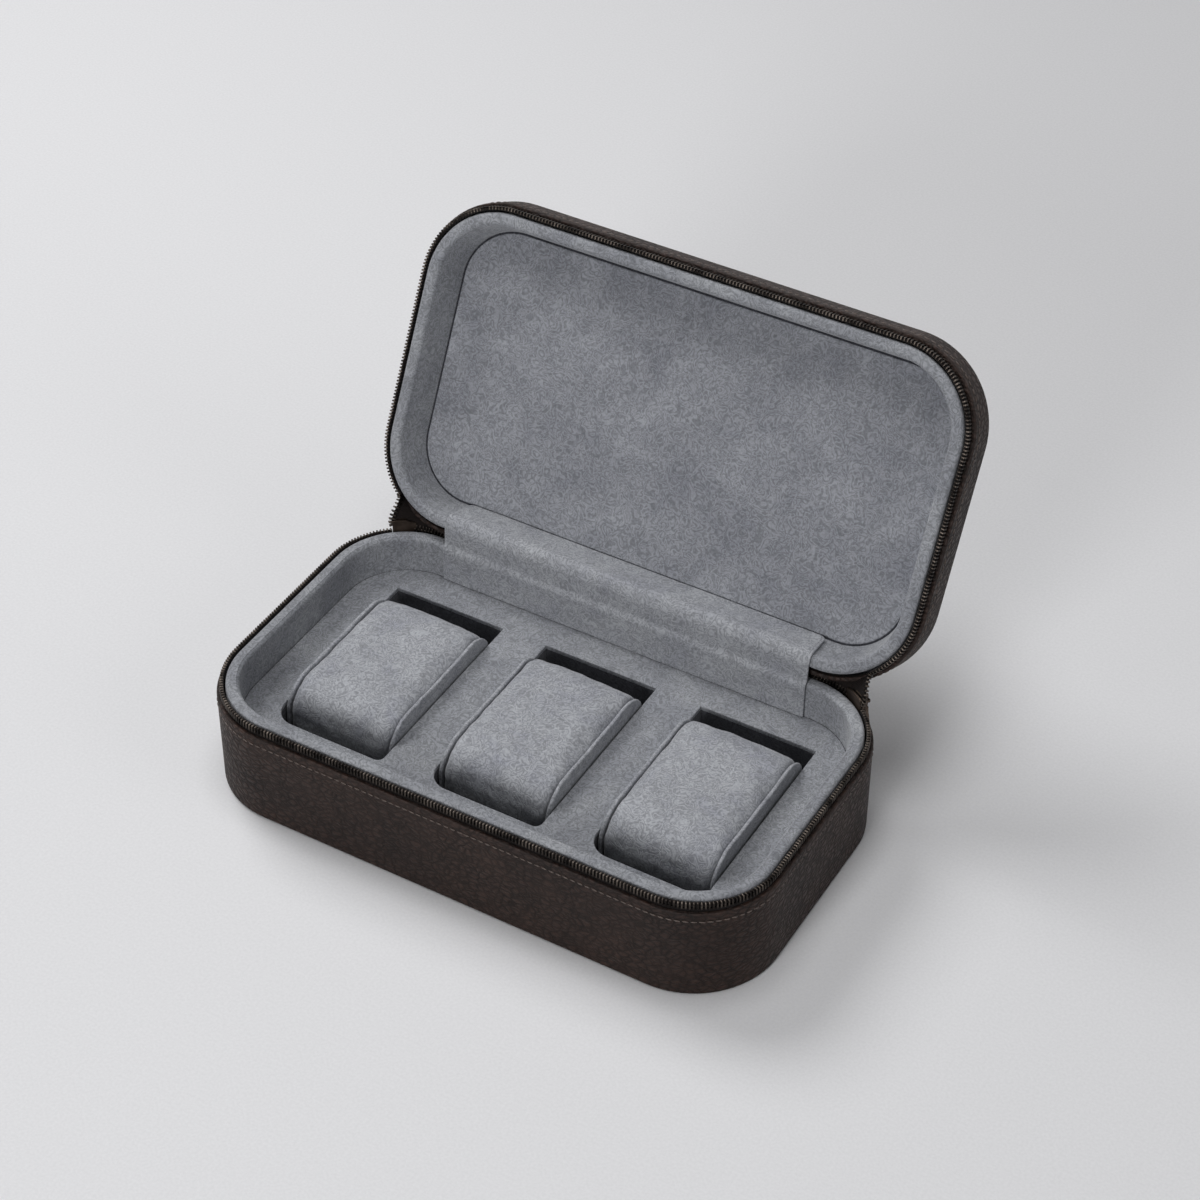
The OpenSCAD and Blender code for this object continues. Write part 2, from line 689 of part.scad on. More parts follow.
base_leather_bottom();
base_leather_wall();
base_foam();
base_board();
base_rim_liner();
tray_foam();
tray_deck();
well_liner(0);  // well_liner_1
well_liner(1);  // well_liner_2
well_liner(2);  // well_liner_3
zip_tape_base();
zip_teeth_base();
at_left() slider();  // slider_left
at_right() slider();  // slider_right
lid_leather_top();
lid_leather_wall();
lid_pad();
lid_foam();
lid_board();
lid_rim_liner();
lid_panel();
zip_tape_lid();
zip_teeth_lid();
spine_leather();
hinge_flap();
zip_end();  // zip_end_left
mirror([1, 0, 0]) zip_end();  // zip_end_right
at_left() link();  // pull_link_left
at_right() link();  // pull_link_right
at_left() tab();  // pull_tab_left
at_right() tab();  // pull_tab_right
cushion(0);  // cushion_1
cushion(1);  // cushion_2
cushion(2);  // cushion_3
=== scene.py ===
import math

import bmesh
import bpy
from mathutils import Matrix, Vector, noise
from mathutils.bvhtree import BVHTree


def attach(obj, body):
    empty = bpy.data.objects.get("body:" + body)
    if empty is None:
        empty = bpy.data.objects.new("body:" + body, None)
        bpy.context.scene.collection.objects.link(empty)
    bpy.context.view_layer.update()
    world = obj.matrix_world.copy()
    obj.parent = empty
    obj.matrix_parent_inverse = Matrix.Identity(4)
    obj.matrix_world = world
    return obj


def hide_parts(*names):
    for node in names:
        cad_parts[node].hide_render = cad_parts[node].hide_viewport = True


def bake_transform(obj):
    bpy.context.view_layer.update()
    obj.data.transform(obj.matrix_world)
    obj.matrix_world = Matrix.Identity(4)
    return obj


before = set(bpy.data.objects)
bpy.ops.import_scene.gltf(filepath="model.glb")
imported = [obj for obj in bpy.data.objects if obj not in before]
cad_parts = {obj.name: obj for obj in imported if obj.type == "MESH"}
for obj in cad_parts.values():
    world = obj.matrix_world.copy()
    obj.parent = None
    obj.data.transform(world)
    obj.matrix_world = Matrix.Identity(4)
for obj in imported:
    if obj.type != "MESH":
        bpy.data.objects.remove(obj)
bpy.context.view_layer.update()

# A zip-around travel case for three watches: leather outside, microsuede inside, standing open.
# All sizes are in millimetres and as the solids have them, and angles are in degrees.
MM = 0.001
# The case's plan, and half of each straight run between its corners.
CASE_W, CASE_D, CORNER_R = 240.0, 137.0, 35.5
RUN_W, RUN_D = CASE_W / 2 - CORNER_R, CASE_D / 2 - CORNER_R
# Heights of the base's rim and of its leather's edge, the gap between the shut rims, and how far
# the lid's leather stands back from its rim.
BASE_H, LEATHER_Z, RIM_GAP, ZIP_REVEAL = 46.2, 42.0, 0.45, 4.2
# The padded rims: how far in from the leather, how wide, and how round.
RIM_IN, RIM_W, RIM_EDGE_R = 3.5, 5.3, 1.7
RIM_END = RIM_IN + RIM_W
DECK_Z = 29.7
# The lid's panel: how deep below the rim, how far in from it, and how thick.
PANEL_DEPTH, PANEL_IN, PANEL_T = 15.5, 3.3, 1.4
OPEN_ANGLE = 117.0
HINGE_Y, HINGE_Z = 65.2, 51.4
FLAP_W, FLAP_T, FLAP_CLEAR = 164.0, 1.2, 0.2
# The zip: how far in from the leather, and its teeth. Sliders and first teeth stand so far round
# the rear corners. Each half's tape shows from the leather's hem to the zip's middle.
TAPE_IN, TOOTH_PITCH, TOOTH_H = 1.9, 1.4, 2.7
SLIDER_ANGLE, TEETH_ANGLE, SLIDER_L = 32.0, 40.7, 9.6

IDENTITY = Matrix.Identity(4)
TO_METRES = Matrix.Scale(MM, 4)
# takes a point of the lid, given as it lies shut on its own rim plane, to the open lid
OPEN_LID = (
    Matrix.Translation((0, HINGE_Y, HINGE_Z))
    @ Matrix.Rotation(math.radians(-OPEN_ANGLE), 4, "X")
    @ Matrix.Translation((0, -HINGE_Y, BASE_H + RIM_GAP - HINGE_Z))
)


def show(name, data):
    """Puts the data of a mesh, a lamp or a camera into the scene."""
    made = bpy.data.objects.new(name, data)
    bpy.context.scene.collection.objects.link(made)
    return made


# ------------------------------------------------------------------ camera

SENSOR_MM, PHOTO_PX, FOCAL_PX = 36, 1200, 2937.1
EYE, AZIMUTH, ELEVATION, ROLL = Vector((429.05, -701.82, 801.09)), 29.926, 40.56, 0.388


def add_camera():
    """Stands to the right of the case's front and looks down at it, as the photograph does."""
    azimuth, elevation, roll = (math.radians(a) for a in (AZIMUTH, ELEVATION, ROLL))
    ahead = Vector(
        (
            -math.sin(azimuth) * math.cos(elevation),
            math.cos(azimuth) * math.cos(elevation),
            -math.sin(elevation),
        )
    )
    right = ahead.cross(Vector((0, 0, 1))).normalized()
    up = right.cross(ahead)
    turn = Matrix((right, up, -ahead)).transposed().to_4x4()
    data = bpy.data.cameras.new("camera")
    data.sensor_width = SENSOR_MM
    data.lens = SENSOR_MM * FOCAL_PX / PHOTO_PX
    data.clip_end = 20
    camera = show("camera", data)
    camera.matrix_world = Matrix.Translation(EYE * MM) @ turn @ Matrix.Rotation(roll, 4, "Z")
    bpy.context.scene.camera = camera


add_camera()


# ------------------------------------------------------------------ materials


def linear(code):
    """Turns an sRGB hex colour into the linear RGBA that a shader reads."""
    parts = [int(code[i : i + 2], 16) / 255 for i in (1, 3, 5)]
    return [c / 12.92 if c <= 0.04045 else ((c + 0.055) / 1.055) ** 2.4 for c in parts] + [1]


def add(tree, kind, links=None, **settings):
    """Adds a node. Links maps an input to a value, or to the output that feeds it."""
    made = tree.nodes.new("ShaderNode" + kind)
    for name, value in settings.items():
        setattr(made, name, value)
    for name, value in (links or {}).items():
        # a Mix node has sockets of one name for each kind of data, and only one set is enabled
        socket = made.inputs[name] if isinstance(name, int) else next(
            one for one in made.inputs if one.name == name and one.enabled)
        if isinstance(value, bpy.types.NodeSocket):
            tree.links.new(value, socket)
        else:
            socket.default_value = value
    return made


def result(mix):
    """The output of a Mix node that is in use."""
    return next(one for one in mix.outputs if one.enabled)


def start_material(name, roughness, **shader):
    """A material with a Principled shader, and the point on the piece in metres."""
    material = bpy.data.materials.new(name)
    material.use_nodes = True
    tree = material.node_tree
    tree.nodes.clear()
    surface = add(tree, "BsdfPrincipled", {"Roughness": roughness, **shader})
    add(tree, "OutputMaterial", {"Surface": surface.outputs[0]})
    place = add(tree, "TexCoord").outputs["Object"]
    return material, tree, surface, place


def ramp(tree, fac, stops):
    """A colour ramp through (place, colour) stops."""
    made = add(tree, "ValToRGB", {"Fac": fac})
    band = made.color_ramp
    while len(band.elements) < len(stops):
        band.elements.new(0.5)
    for element, (at, colour) in zip(band.elements, stops):
        element.position = at
        element.color = linear(colour) if isinstance(colour, str) else (colour, colour, colour, 1)
    return made.outputs["Color"]


def bump(tree, surface, *layers):
    """Stacks height patterns, each as (height, strength, depth in mm), onto the surface."""
    normal = None
    for height, strength, depth in layers:
        links = {"Height": height, "Strength": strength, "Distance": depth * MM}
        if normal is not None:
            links["Normal"] = normal
        normal = add(tree, "Bump", links).outputs[0]
    tree.links.new(normal, surface.inputs["Normal"])


def suede(name, low, middle, high, cloud_mm=20.0):
    """Microsuede: a knitted polyester cloth sanded on its face. It takes light softly, without a
    highlight. The nap lies in small curls, about 1.1 mm apart, whose tips catch the light, and
    hands leave it in cloudy patches."""
    material, tree, surface, place = start_material(
        name, 0.92, **{"Sheen Weight": 0.18, "Sheen Roughness": 0.45, "Specular IOR Level": 0.15}
    )
    # the curls are level lines of a coarser noise, and tufts break them up
    hill_mm, lines, tuft_mm = 4.5, 5.5, 0.8
    hill = add(tree, "TexNoise", {"Vector": place, "Scale": 1 / (hill_mm * MM), "Detail": 1.0,
                                  "Roughness": 0.5, "Distortion": 1.4}).outputs["Fac"]
    turns = add(tree, "Math", {0: hill, 1: 2 * math.pi * lines}, operation="MULTIPLY").outputs[0]
    curl = add(tree, "Math", {0: turns}, operation="SINE").outputs[0]
    tuft = add(tree, "TexNoise", {"Vector": place, "Scale": 1 / (tuft_mm * MM), "Detail": 2.0,
                                  "Distortion": 0.5}).outputs["Fac"]
    soft = add(tree, "Math", {0: tuft, 1: 0.7, 2: 0.15}, operation="MULTIPLY_ADD").outputs[0]
    broken = add(tree, "Math", {0: curl, 1: 0.17, 2: soft}, operation="MULTIPLY_ADD").outputs[0]
    cloud = add(tree, "TexNoise", {"Vector": place, "Scale": 1 / (cloud_mm * MM), "Detail": 4.0,
                                   "Roughness": 0.65, "Distortion": 0.5}).outputs["Fac"]
    brushed = ramp(tree, cloud, [(0.28, low), (0.5, middle), (0.72, high)])
    grain = add(tree, "MapRange", {"Value": broken, "From Min": 0.25, "From Max": 0.75,
                                   "To Min": 0.68, "To Max": 1.25}).outputs[0]
    shade = add(tree, "VectorMath", {0: brushed, "Scale": grain}, operation="SCALE")
    tree.links.new(shade.outputs[0], surface.inputs["Base Color"])
    bump(tree, surface, (broken, 0.5, 0.3), (cloud, 0.3, 0.5))
    return material


def leather(name, stitch_at=None, lid_frame=None):
    """Full-grain calf leather, drum-shrunk into a pebble grain and dyed dark brown. The pebbles are
    1 to 3 mm across and pulled longer along the wall, their tops polished a little by hands. The
    creases between them are painted nearly black, partly their darker dye and partly painted shade."""
    material, tree, surface, place = start_material(name, 0.5, **{"Specular IOR Level": 0.2})
    # the grain's pebbles, the finer ones between them, and the pores
    pebble_mm, fine_mm, pore_mm = 2.2, 0.9, 0.35
    # how far the pebbles are pulled out of line, and over what length that changes
    wander_mm, drift_mm = 2.2, 3.5
    # the hide's own unevenness, and the patches in which its creases run deep and carry more
    # painted shade
    hide_mm, deep_mm = 30, 9
    drift = add(tree, "TexNoise", {"Vector": place, "Scale": 1 / (drift_mm * MM), "Detail": 3.0})
    pull = add(tree, "VectorMath", {0: drift.outputs["Color"], "Scale": wander_mm * MM},
               operation="SCALE")
    bent = add(tree, "VectorMath", {0: place, 1: pull.outputs[0]}, operation="ADD").outputs[0]
    long = add(tree, "Mapping", {"Vector": bent, "Scale": (0.62, 0.62, 1.0)}).outputs[0]
    crease = add(tree, "TexVoronoi", {"Vector": long, "Scale": 1 / (pebble_mm * MM)},
                 feature="DISTANCE_TO_EDGE").outputs["Distance"]
    fine = add(tree, "TexVoronoi", {"Vector": bent, "Scale": 1 / (fine_mm * MM)},
               feature="DISTANCE_TO_EDGE").outputs["Distance"]
    pore = add(tree, "TexNoise", {"Vector": place, "Scale": 1 / (pore_mm * MM),
                                  "Detail": 2.0}).outputs["Fac"]
    hide = add(tree, "TexNoise", {"Vector": place, "Scale": 1 / (hide_mm * MM),
                                  "Detail": 3.0}).outputs["Fac"]
    deep = add(tree, "TexNoise", {"Vector": place, "Scale": 1 / (deep_mm * MM),
                                  "Detail": 2.0}).outputs["Fac"]
    pebble = ramp(tree, crease, [(0.0, 0.15), (0.12, 0.5), (0.32, 1.0)])
    fine_pebble = ramp(tree, fine, [(0.0, 0.0), (0.3, 1.0)])
    dye = ramp(tree, hide, [(0.3, LEATHER_DARK), (0.7, LEATHER_LIGHT)])
    sunk = add(tree, "MapRange", {"Value": deep, "From Min": 0.35, "From Max": 0.65,
                                  "To Min": 0.7, "To Max": 1.0}).outputs[0]
    # the creases are painted near black, partly their darker dye and partly painted shade, darkest
    # in the sunk patches
    level = add(tree, "Math", {0: pebble, 1: 1.0}, operation="SUBTRACT").outputs[0]
    shallow = add(tree, "Math", {0: level, 1: sunk, 2: 1.0}, operation="MULTIPLY_ADD").outputs[0]
    dye_and_crease_shade = add(tree, "Mix", {"Factor": shallow, "A": linear(LEATHER_CREASE_DYE_AND_SHADE), "B": dye},
               data_type="RGBA")
    tree.links.new(result(dye_and_crease_shade), surface.inputs["Base Color"])
    gloss = add(tree, "MapRange", {"Value": shallow, "To Min": 0.7, "To Max": 0.48})
    tree.links.new(gloss.outputs[0], surface.inputs["Roughness"])
    layers = [(shallow, 0.9, 0.5), (fine_pebble, 0.4, 0.12), (pore, 0.2, 0.04)]
    if stitch_at is not None:
        # the channel that the stitches pull into the leather
        channel_mm = 1.6
        where = add(tree, "Mapping", {"Vector": place}, vector_type="POINT")
        if lid_frame is not None:
            where.inputs["Location"].default_value = lid_frame[0]
            where.inputs["Rotation"].default_value = lid_frame[1]
        height = add(tree, "SeparateXYZ", {"Vector": where.outputs[0]}).outputs["Z"]
        off = add(tree, "Math", {0: height, 1: stitch_at * MM}, operation="SUBTRACT").outputs[0]
        away = add(tree, "Math", {0: off}, operation="ABSOLUTE").outputs[0]
        channel = add(tree, "MapRange", {"Value": away, "From Max": channel_mm / 2 * MM},
                      interpolation_type="SMOOTHSTEP").outputs[0]
        layers.append((channel, 0.8, 0.5))
    bump(tree, surface, *layers)
    return material


def woven_tape(name, dark, bright):
    """Zip tape: a dense polyester twill, dyed near black. Its ribs run along the zip, 0.5 mm apart,
    and keep it matt."""
    rib_mm = 0.5
    material, tree, surface, place = start_material(
        name, 0.85, **{"Sheen Weight": 0.05, "Specular IOR Level": 0.12}
    )
    height = add(tree, "SeparateXYZ", {"Vector": place}).outputs["Z"]
    wave = add(tree, "Math", {0: height, 1: 2 * math.pi / (rib_mm * MM)}, operation="MULTIPLY")
    rib = add(tree, "Math", {0: wave.outputs[0]}, operation="SINE").outputs[0]
    yarn = add(tree, "TexNoise", {"Vector": place, "Scale": 1 / (rib_mm * MM),
                                  "Detail": 2.0}).outputs["Fac"]
    tone = ramp(tree, yarn, [(0.3, dark), (0.7, bright)])
    tree.links.new(tone, surface.inputs["Base Color"])
    bump(tree, surface, (rib, 0.5, 0.12), (yarn, 0.5, 0.1))
    return material


def plated_metal(name, dark, bright, roughness):
    """Zip metal: die-cast zinc and brass plated dark bronze. The plating is smooth and rubs through
    to a warmer colour where it is touched, with a film of grime in the hollows."""
    material, tree, surface, place = start_material(name, roughness, **{"Metallic": 1.0})
    film_mm, scratch_mm = 5, 0.3
    film = add(tree, "TexNoise", {"Vector": place, "Scale": 1 / (film_mm * MM),
                                  "Detail": 2.0}).outputs["Fac"]
    scratch = add(tree, "TexNoise", {"Vector": place, "Scale": 1 / (scratch_mm * MM),
                                     "Detail": 2.0}).outputs["Fac"]
    tone = ramp(tree, film, [(0.35, dark), (0.65, bright)])
    tree.links.new(tone, surface.inputs["Base Color"])
    haze = add(tree, "MapRange", {"Value": film, "To Min": roughness - 0.08,
                                  "To Max": roughness + 0.12})
    tree.links.new(haze.outputs[0], surface.inputs["Roughness"])
    bump(tree, surface, (scratch, 0.15, 0.03))
    return material


def sewing_thread(name, dark, bright):
    """Bonded polyester thread, three plies twisted. It has a waxy shine along the turns."""
    material, tree, surface, place = start_material(name, 0.45, **{"Sheen Weight": 0.2})
    ply_mm = 0.35
    ply = add(tree, "TexNoise", {"Vector": place, "Scale": 1 / (ply_mm * MM),
                                 "Detail": 1.0}).outputs["Fac"]
    tone = ramp(tree, ply, [(0.35, dark), (0.65, bright)])
    tree.links.new(tone, surface.inputs["Base Color"])
    bump(tree, surface, (ply, 0.6, 0.08))
    return material


def grey_board(name, dark, bright):
    """Pressed fibre board: matt, with specks of bark and paper."""
    material, tree, surface, place = start_material(name, 0.85)
    speck_mm = 1.2
    speck = add(tree, "TexNoise", {"Vector": place, "Scale": 1 / (speck_mm * MM),
                                   "Detail": 4.0}).outputs["Fac"]
    tone = ramp(tree, speck, [(0.35, dark), (0.6, bright)])
    tree.links.new(tone, surface.inputs["Base Color"])
    bump(tree, surface, (speck, 0.4, 0.1))
    return material


def cell_foam(name, dark, bright):
    """Closed-cell foam: matt black, with cells that can just be seen."""
    material, tree, surface, place = start_material(name, 0.95)
    cell_mm = 1.0
    cells = add(tree, "TexVoronoi", {"Vector": place, "Scale": 1 / (cell_mm * MM)})
    cell = cells.outputs["Distance"]
    tone = ramp(tree, cell, [(0.1, dark), (0.6, bright)])
    tree.links.new(tone, surface.inputs["Base Color"])
    bump(tree, surface, (cell, 0.5, 0.3))
    return material


# the row of stitches runs this far from the leather's edge
STITCH_DROP = 3.7
# the creases' colour is nearly black: partly the dye, partly painted shade
LEATHER_DARK, LEATHER_LIGHT, LEATHER_CREASE_DYE_AND_SHADE = "#271b17", "#372822", "#070504"
SHUT_LID = OPEN_LID.inverted()
LID_FRAME = (SHUT_LID.to_translation() * MM, SHUT_LID.to_euler())

SUEDE = suede("microsuede lining", "#7d7f85", "#898b90", "#96989c")
SUEDE_PANEL = suede("microsuede lid panel", "#7b7d84", "#888a90", "#95979d", 26.0)
SUEDE_PAD = suede("microsuede cushion cover", "#8d8f97", "#989a9f", "#a3a5aa", 16.0)
# the flap is the same suede made lighter, as painted light on its lit crest and edges
SUEDE_FLAP_PAINTED_LIGHT = suede("microsuede hinge flap, lightened as painted light", "#888a91", "#94969b", "#a0a2a6", 24.0)
# the wells' lining is the same suede made darker, as painted shade inside the wells
SUEDE_WELL_SHADE = suede("microsuede well lining, darkened as painted shade", "#47484d", "#515257", "#5b5c61")
# the darkest suede is painted shade, for the beads that stand in for the crevices' shadow
SUEDE_CREVICE_SHADE = suede("dark microsuede, painted crevice shade", "#2c2d31", "#34353a", "#3c3d42")
LEATHER_BASE = leather("pebbled calf leather", LEATHER_Z - STITCH_DROP)
LEATHER_LID = leather("pebbled calf leather of the lid", ZIP_REVEAL + STITCH_DROP, LID_FRAME)
LEATHER_PLAIN = leather("pebbled calf leather, unstitched")
TAPE = woven_tape("polyester twill zip tape", "#0c0909", "#1c1614")
TEETH = plated_metal("bronze-plated zip teeth", "#1d1a18", "#57504a", 0.3)
SLIDER = plated_metal("bronze-plated die-cast slider", "#473d36", "#5f534a", 0.4)
THREAD = sewing_thread("brown bonded thread", "#3b2f2a", "#63544b")
THREAD_GREY = sewing_thread("grey bonded thread", "#7d7f86", "#a4a6ab")
BOARD = grey_board("pressed fibre board", "#574a3b", "#7d7060")
FOAM = cell_foam("closed-cell foam", "#1a1a1c", "#35353a")

FINISHES = {
    "base_leather_bottom": LEATHER_PLAIN,
    "base_leather_wall": LEATHER_BASE,
    "lid_leather_top": LEATHER_PLAIN,
    "lid_leather_wall": LEATHER_LID,
    "base_rim_liner": SUEDE,
    "tray_deck": SUEDE,
    # the wells get the darker suede, which is painted shade
    "well_liner_1": SUEDE_WELL_SHADE,
    "well_liner_2": SUEDE_WELL_SHADE,
    "well_liner_3": SUEDE_WELL_SHADE,
    "lid_rim_liner": SUEDE,
    "lid_panel": SUEDE_PANEL,
    "zip_tape_base": TAPE,
    "zip_tape_lid": TAPE,
    "slider_left": SLIDER,
    "slider_right": SLIDER,
    "pull_link_left": SLIDER,
    "pull_link_right": SLIDER,
    "pull_tab_left": SLIDER,
    "pull_tab_right": SLIDER,
    "base_board": BOARD,
    "lid_board": BOARD,
    "base_foam": FOAM,
    "tray_foam": FOAM,
    "lid_foam": FOAM,
    "lid_pad": FOAM,
}
for node, material in FINISHES.items():
    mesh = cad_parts[node].data
    mesh.materials.clear()
    mesh.materials.append(material)


def round_edges(node, width, angle=40):
    """Rounds the sharp edges of a CAD node as it is shown."""
    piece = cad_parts[node]
    weld = piece.modifiers.new("weld", "WELD")
    weld.merge_threshold = 0.002 * MM
    # thin triangles in flat faces are joined first, because a bevel tears them open
    flat = piece.modifiers.new("flat", "DECIMATE")
    flat.decimate_type = "DISSOLVE"
    flat.angle_limit = math.radians(1)
    bevel = piece.modifiers.new("bevel", "BEVEL")
    bevel.width = width * MM
    bevel.segments = 3
    bevel.limit_method = "ANGLE"
    bevel.angle_limit = math.radians(angle)
    bevel.harden_normals = True


round_edges("tray_deck", 0.8, 60)
for side in ("left", "right"):
    round_edges("slider_" + side, 0.18)
    round_edges("pull_tab_" + side, 0.3, 50)


# ------------------------------------------------------------------ making pieces


def on_outline(inset, s):
    """Station at a distance s along the case's plan, from the middle of the back round by the left.
    Its X axis points along the way, Y outward and Z up."""
    r = CORNER_R - inset
    angle, here = math.pi / 2, Vector((0, RUN_D + r, 0))
    for run in (RUN_W, 2 * RUN_D, 2 * RUN_W, 2 * RUN_D, RUN_W):
        out = Vector((math.cos(angle), math.sin(angle), 0))
        way = Vector((-out.y, out.x, 0))
        if s <= run:
            here = here + way * s
            break
        here, s = here + way * run, s - run
        corner = r * math.pi / 2
        turned = angle + min(s, corner) / r
        out_now = Vector((math.cos(turned), math.sin(turned), 0))
        if s <= corner:
            here = here - out * r + out_now * r
            out, way = out_now, Vector((-out_now.y, out_now.x, 0))
            break
        here, s, angle = here - out * r + out_now * r, s - corner, turned
    return Matrix.Translation(here) @ Matrix((way, out, (0, 0, 1))).transposed().to_4x4()


def outline_length(inset):
    """Length of the case's plan, all the way round."""
    return 4 * (RUN_W + RUN_D) + 2 * math.pi * (CORNER_R - inset)


def sweep(bm, stations, out, up):
    """Draws an oval ring, out by up in half sizes, through stations whose X axis is the way."""
    oval = Matrix.Diagonal((1, out, up, 1))
    bmesh.ops.create_circle(
        bm,
        segments=10,
        radius=1,
        matrix=stations[0] @ oval @ Matrix.Rotation(math.pi / 2, 4, "Y"),
    )
    edges = bm.edges[:]
    bmesh.ops.contextual_create(bm, geom=edges)
    for last, now in zip(stations, stations[1:]):
        made = bmesh.ops.extrude_edge_only(bm, edges=edges)["geom"]
        verts = {g for g in made if isinstance(g, bmesh.types.BMVert)}
        edges = [g for g in made if isinstance(g, bmesh.types.BMEdge) and set(g.verts) <= verts]
        bmesh.ops.transform(bm, matrix=now @ last.inverted(), verts=list(verts))
    bmesh.ops.contextual_create(bm, geom=edges)


def finish(bm, name, material, body=None, sharp=40):
    """Turns a bmesh in millimetres into a finished piece, with edges above an angle left sharp."""
    bmesh.ops.transform(bm, matrix=TO_METRES, verts=bm.verts)
    bmesh.ops.recalc_face_normals(bm, faces=bm.faces)
    mesh = bpy.data.meshes.new(name)
    bm.to_mesh(mesh)
    bm.free()
    mesh.materials.append(material)
    mesh.shade_smooth()
    mesh.set_sharp_from_angle(angle=math.radians(sharp))
    piece = show(name, mesh)
    if body:
        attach(piece, body)
    return piece


def thicken(sheet, thickness):
    """Gives a flat sheet its thickness, half on each side."""
    made = sheet.modifiers.new("thickness", "SOLIDIFY")
    made.thickness = thickness * MM
    made.offset = 0


STITCH_LEAN = 4
STITCH_PITCH, STITCH_L, THREAD_T, THREAD_PROUD = 3.0, 2.35, 0.55, 0.02


def sew(bm, stations, length, thread):
    """Lays one stitch at each station, half sunk, each leaning a little as a lockstitch does."""
    for station in stations:
        bmesh.ops.create_uvsphere(
            bm,
            u_segments=8,
            v_segments=5,
            radius=0.5,
            matrix=station
            @ Matrix.Rotation(math.radians(STITCH_LEAN), 4, "Y")
            @ Matrix.Diagonal((length, thread, thread, 1))
            @ Matrix.Rotation(math.pi / 2, 4, "Y"),
        )


# ------------------------------------------------------------------ leather's and lining's edges


def wall_stitching(name, height, place, body):
    """One row of lockstitch round the leather wall."""
    total = outline_length(0)
    count = round(total / STITCH_PITCH)
    row = place @ Matrix.Translation((0, 0, height))
    marks = [total * (i + 0.5) / count for i in range(count)]
    bm = bmesh.new()
    sew(bm, [row @ on_outline(-THREAD_PROUD, s) for s in marks], STITCH_L, THREAD_T)
    return finish(bm, name, THREAD, body)


def ring_bead(name, inset, height, half_sizes, place, material, body):
    """A bead of oval section, (outward, upward) in half sizes, that runs all the way round."""
    rings = 300
    total = outline_length(inset)
    row = place @ Matrix.Translation((0, 0, height))
    bm = bmesh.new()
    sweep(bm, [row @ on_outline(inset, total * i / rings) for i in range(rings + 1)], *half_sizes)
    return finish(bm, name, material, body, 180)


for half, place, edge, way in (("base", IDENTITY, LEATHER_Z, -1), ("lid", OPEN_LID, ZIP_REVEAL, 1)):
    wall_stitching("stitching_" + half, edge + way * STITCH_DROP, place, half)
    # the leather's edge is skived, glued and turned under, which leaves it round
    ring_bead("turned_edge_" + half, inset=0.66, height=edge + way * 0.6, half_sizes=(0.7, 0.68),
              place=place, material=LEATHER_PLAIN, body=half)
# the lining's own edge shows as a fine ridge inside the rim's top
ring_bead("rim_seam_base", inset=7.5, height=BASE_H - 0.06, half_sizes=(0.3, 0.14),
          place=IDENTITY, material=SUEDE, body="base")
# dark suede beads round the lid's panel and round the deck are painted shade, standing in for the
# shadow in the crevices there
ring_bead("lid_panel_shade_bead", inset=RIM_END + PANEL_IN + 0.25, height=PANEL_DEPTH + 0.45,
          half_sizes=(0.6, 0.32), place=OPEN_LID, material=SUEDE_CREVICE_SHADE, body="lid")
ring_bead("tray_deck_shade_bead", inset=RIM_END + 0.25, height=DECK_Z - 0.42, half_sizes=(0.4, 0.3),
          place=IDENTITY, material=SUEDE_CREVICE_SHADE, body="base")


# ------------------------------------------------------------------ zip

TOOTH_L, TOOTH_W, TOOTH_EDGE_R = 0.86, 1.8, 0.24
# the head's length and width, as a share of the foot's
HEAD_TAPER = (0.8, 0.86, 1)
# the heads stay this far inside the rim plane
HEAD_SUNK = 0.1


def tooth_mesh():
    """A tooth clamped on the cord: a bar, narrower at its head, which points to the zip's middle
    (+Z)."""
    bm = bmesh.new()
    bmesh.ops.create_cube(bm, size=1, matrix=Matrix.Diagonal((TOOTH_L, TOOTH_W, TOOTH_H, 1)))
    top = [v for v in bm.verts if v.co.z > 0]
    bmesh.ops.scale(bm, vec=HEAD_TAPER, verts=top)
    bmesh.ops.bevel(bm, geom=bm.edges[:], offset=TOOTH_EDGE_R, offset_type="OFFSET", segments=2,
                    profile=0.5, affect="EDGES", material=-1)
    mesh = bpy.data.meshes.new("tooth")
    bm.to_mesh(mesh)
    bm.free()
    return mesh


TOOTH = tooth_mesh()


def teeth(stations):
    """One tooth at each station."""
    bm = bmesh.new()
    for station in stations:
        before = len(bm.verts)
        bm.from_mesh(TOOTH)
        bm.verts.ensure_lookup_table()
        bmesh.ops.transform(bm, matrix=station, verts=bm.verts[before:])
    return bm


def zip_half(half, place, level, body):
    """Teeth and their cord round the case's open sides, for one half of the zip."""
    # the first tooth's place in steps, how far teeth and cord stand back, and the cord's half sizes
    first_tooth, teeth_back, cord_back = 0.41, 0.1, 0.45
    cord_out, cord_up, rings = 0.55, TOOTH_H / 2 - 0.1, 260
    start = RUN_W + (CORNER_R - TAPE_IN) * math.radians(TEETH_ANGLE)
    length = outline_length(TAPE_IN) - 2 * start
    count = int(length / TOOTH_PITCH)
    step = length / count
    head_up = 1 if half == "base" else -1
    middle = place @ Matrix.Translation((0, 0, level)) @ Matrix.Diagonal((1, 1, head_up, 1))

    def station(s, back):
        return middle @ on_outline(TAPE_IN, start + s) @ Matrix.Translation((0, -back, 0))

    metal = finish(teeth([station((i + first_tooth) * step, teeth_back) for i in range(count)]),
                   "zip_teeth_%s_metal" % half, TEETH, body, 50)
    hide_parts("zip_teeth_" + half)
    bm = bmesh.new()
    marks = [length * i / rings for i in range(rings + 1)]
    sweep(bm, [station(s, cord_back) for s in marks], cord_out, cord_up)
    finish(bm, "zip_cord_" + half, TAPE, body)


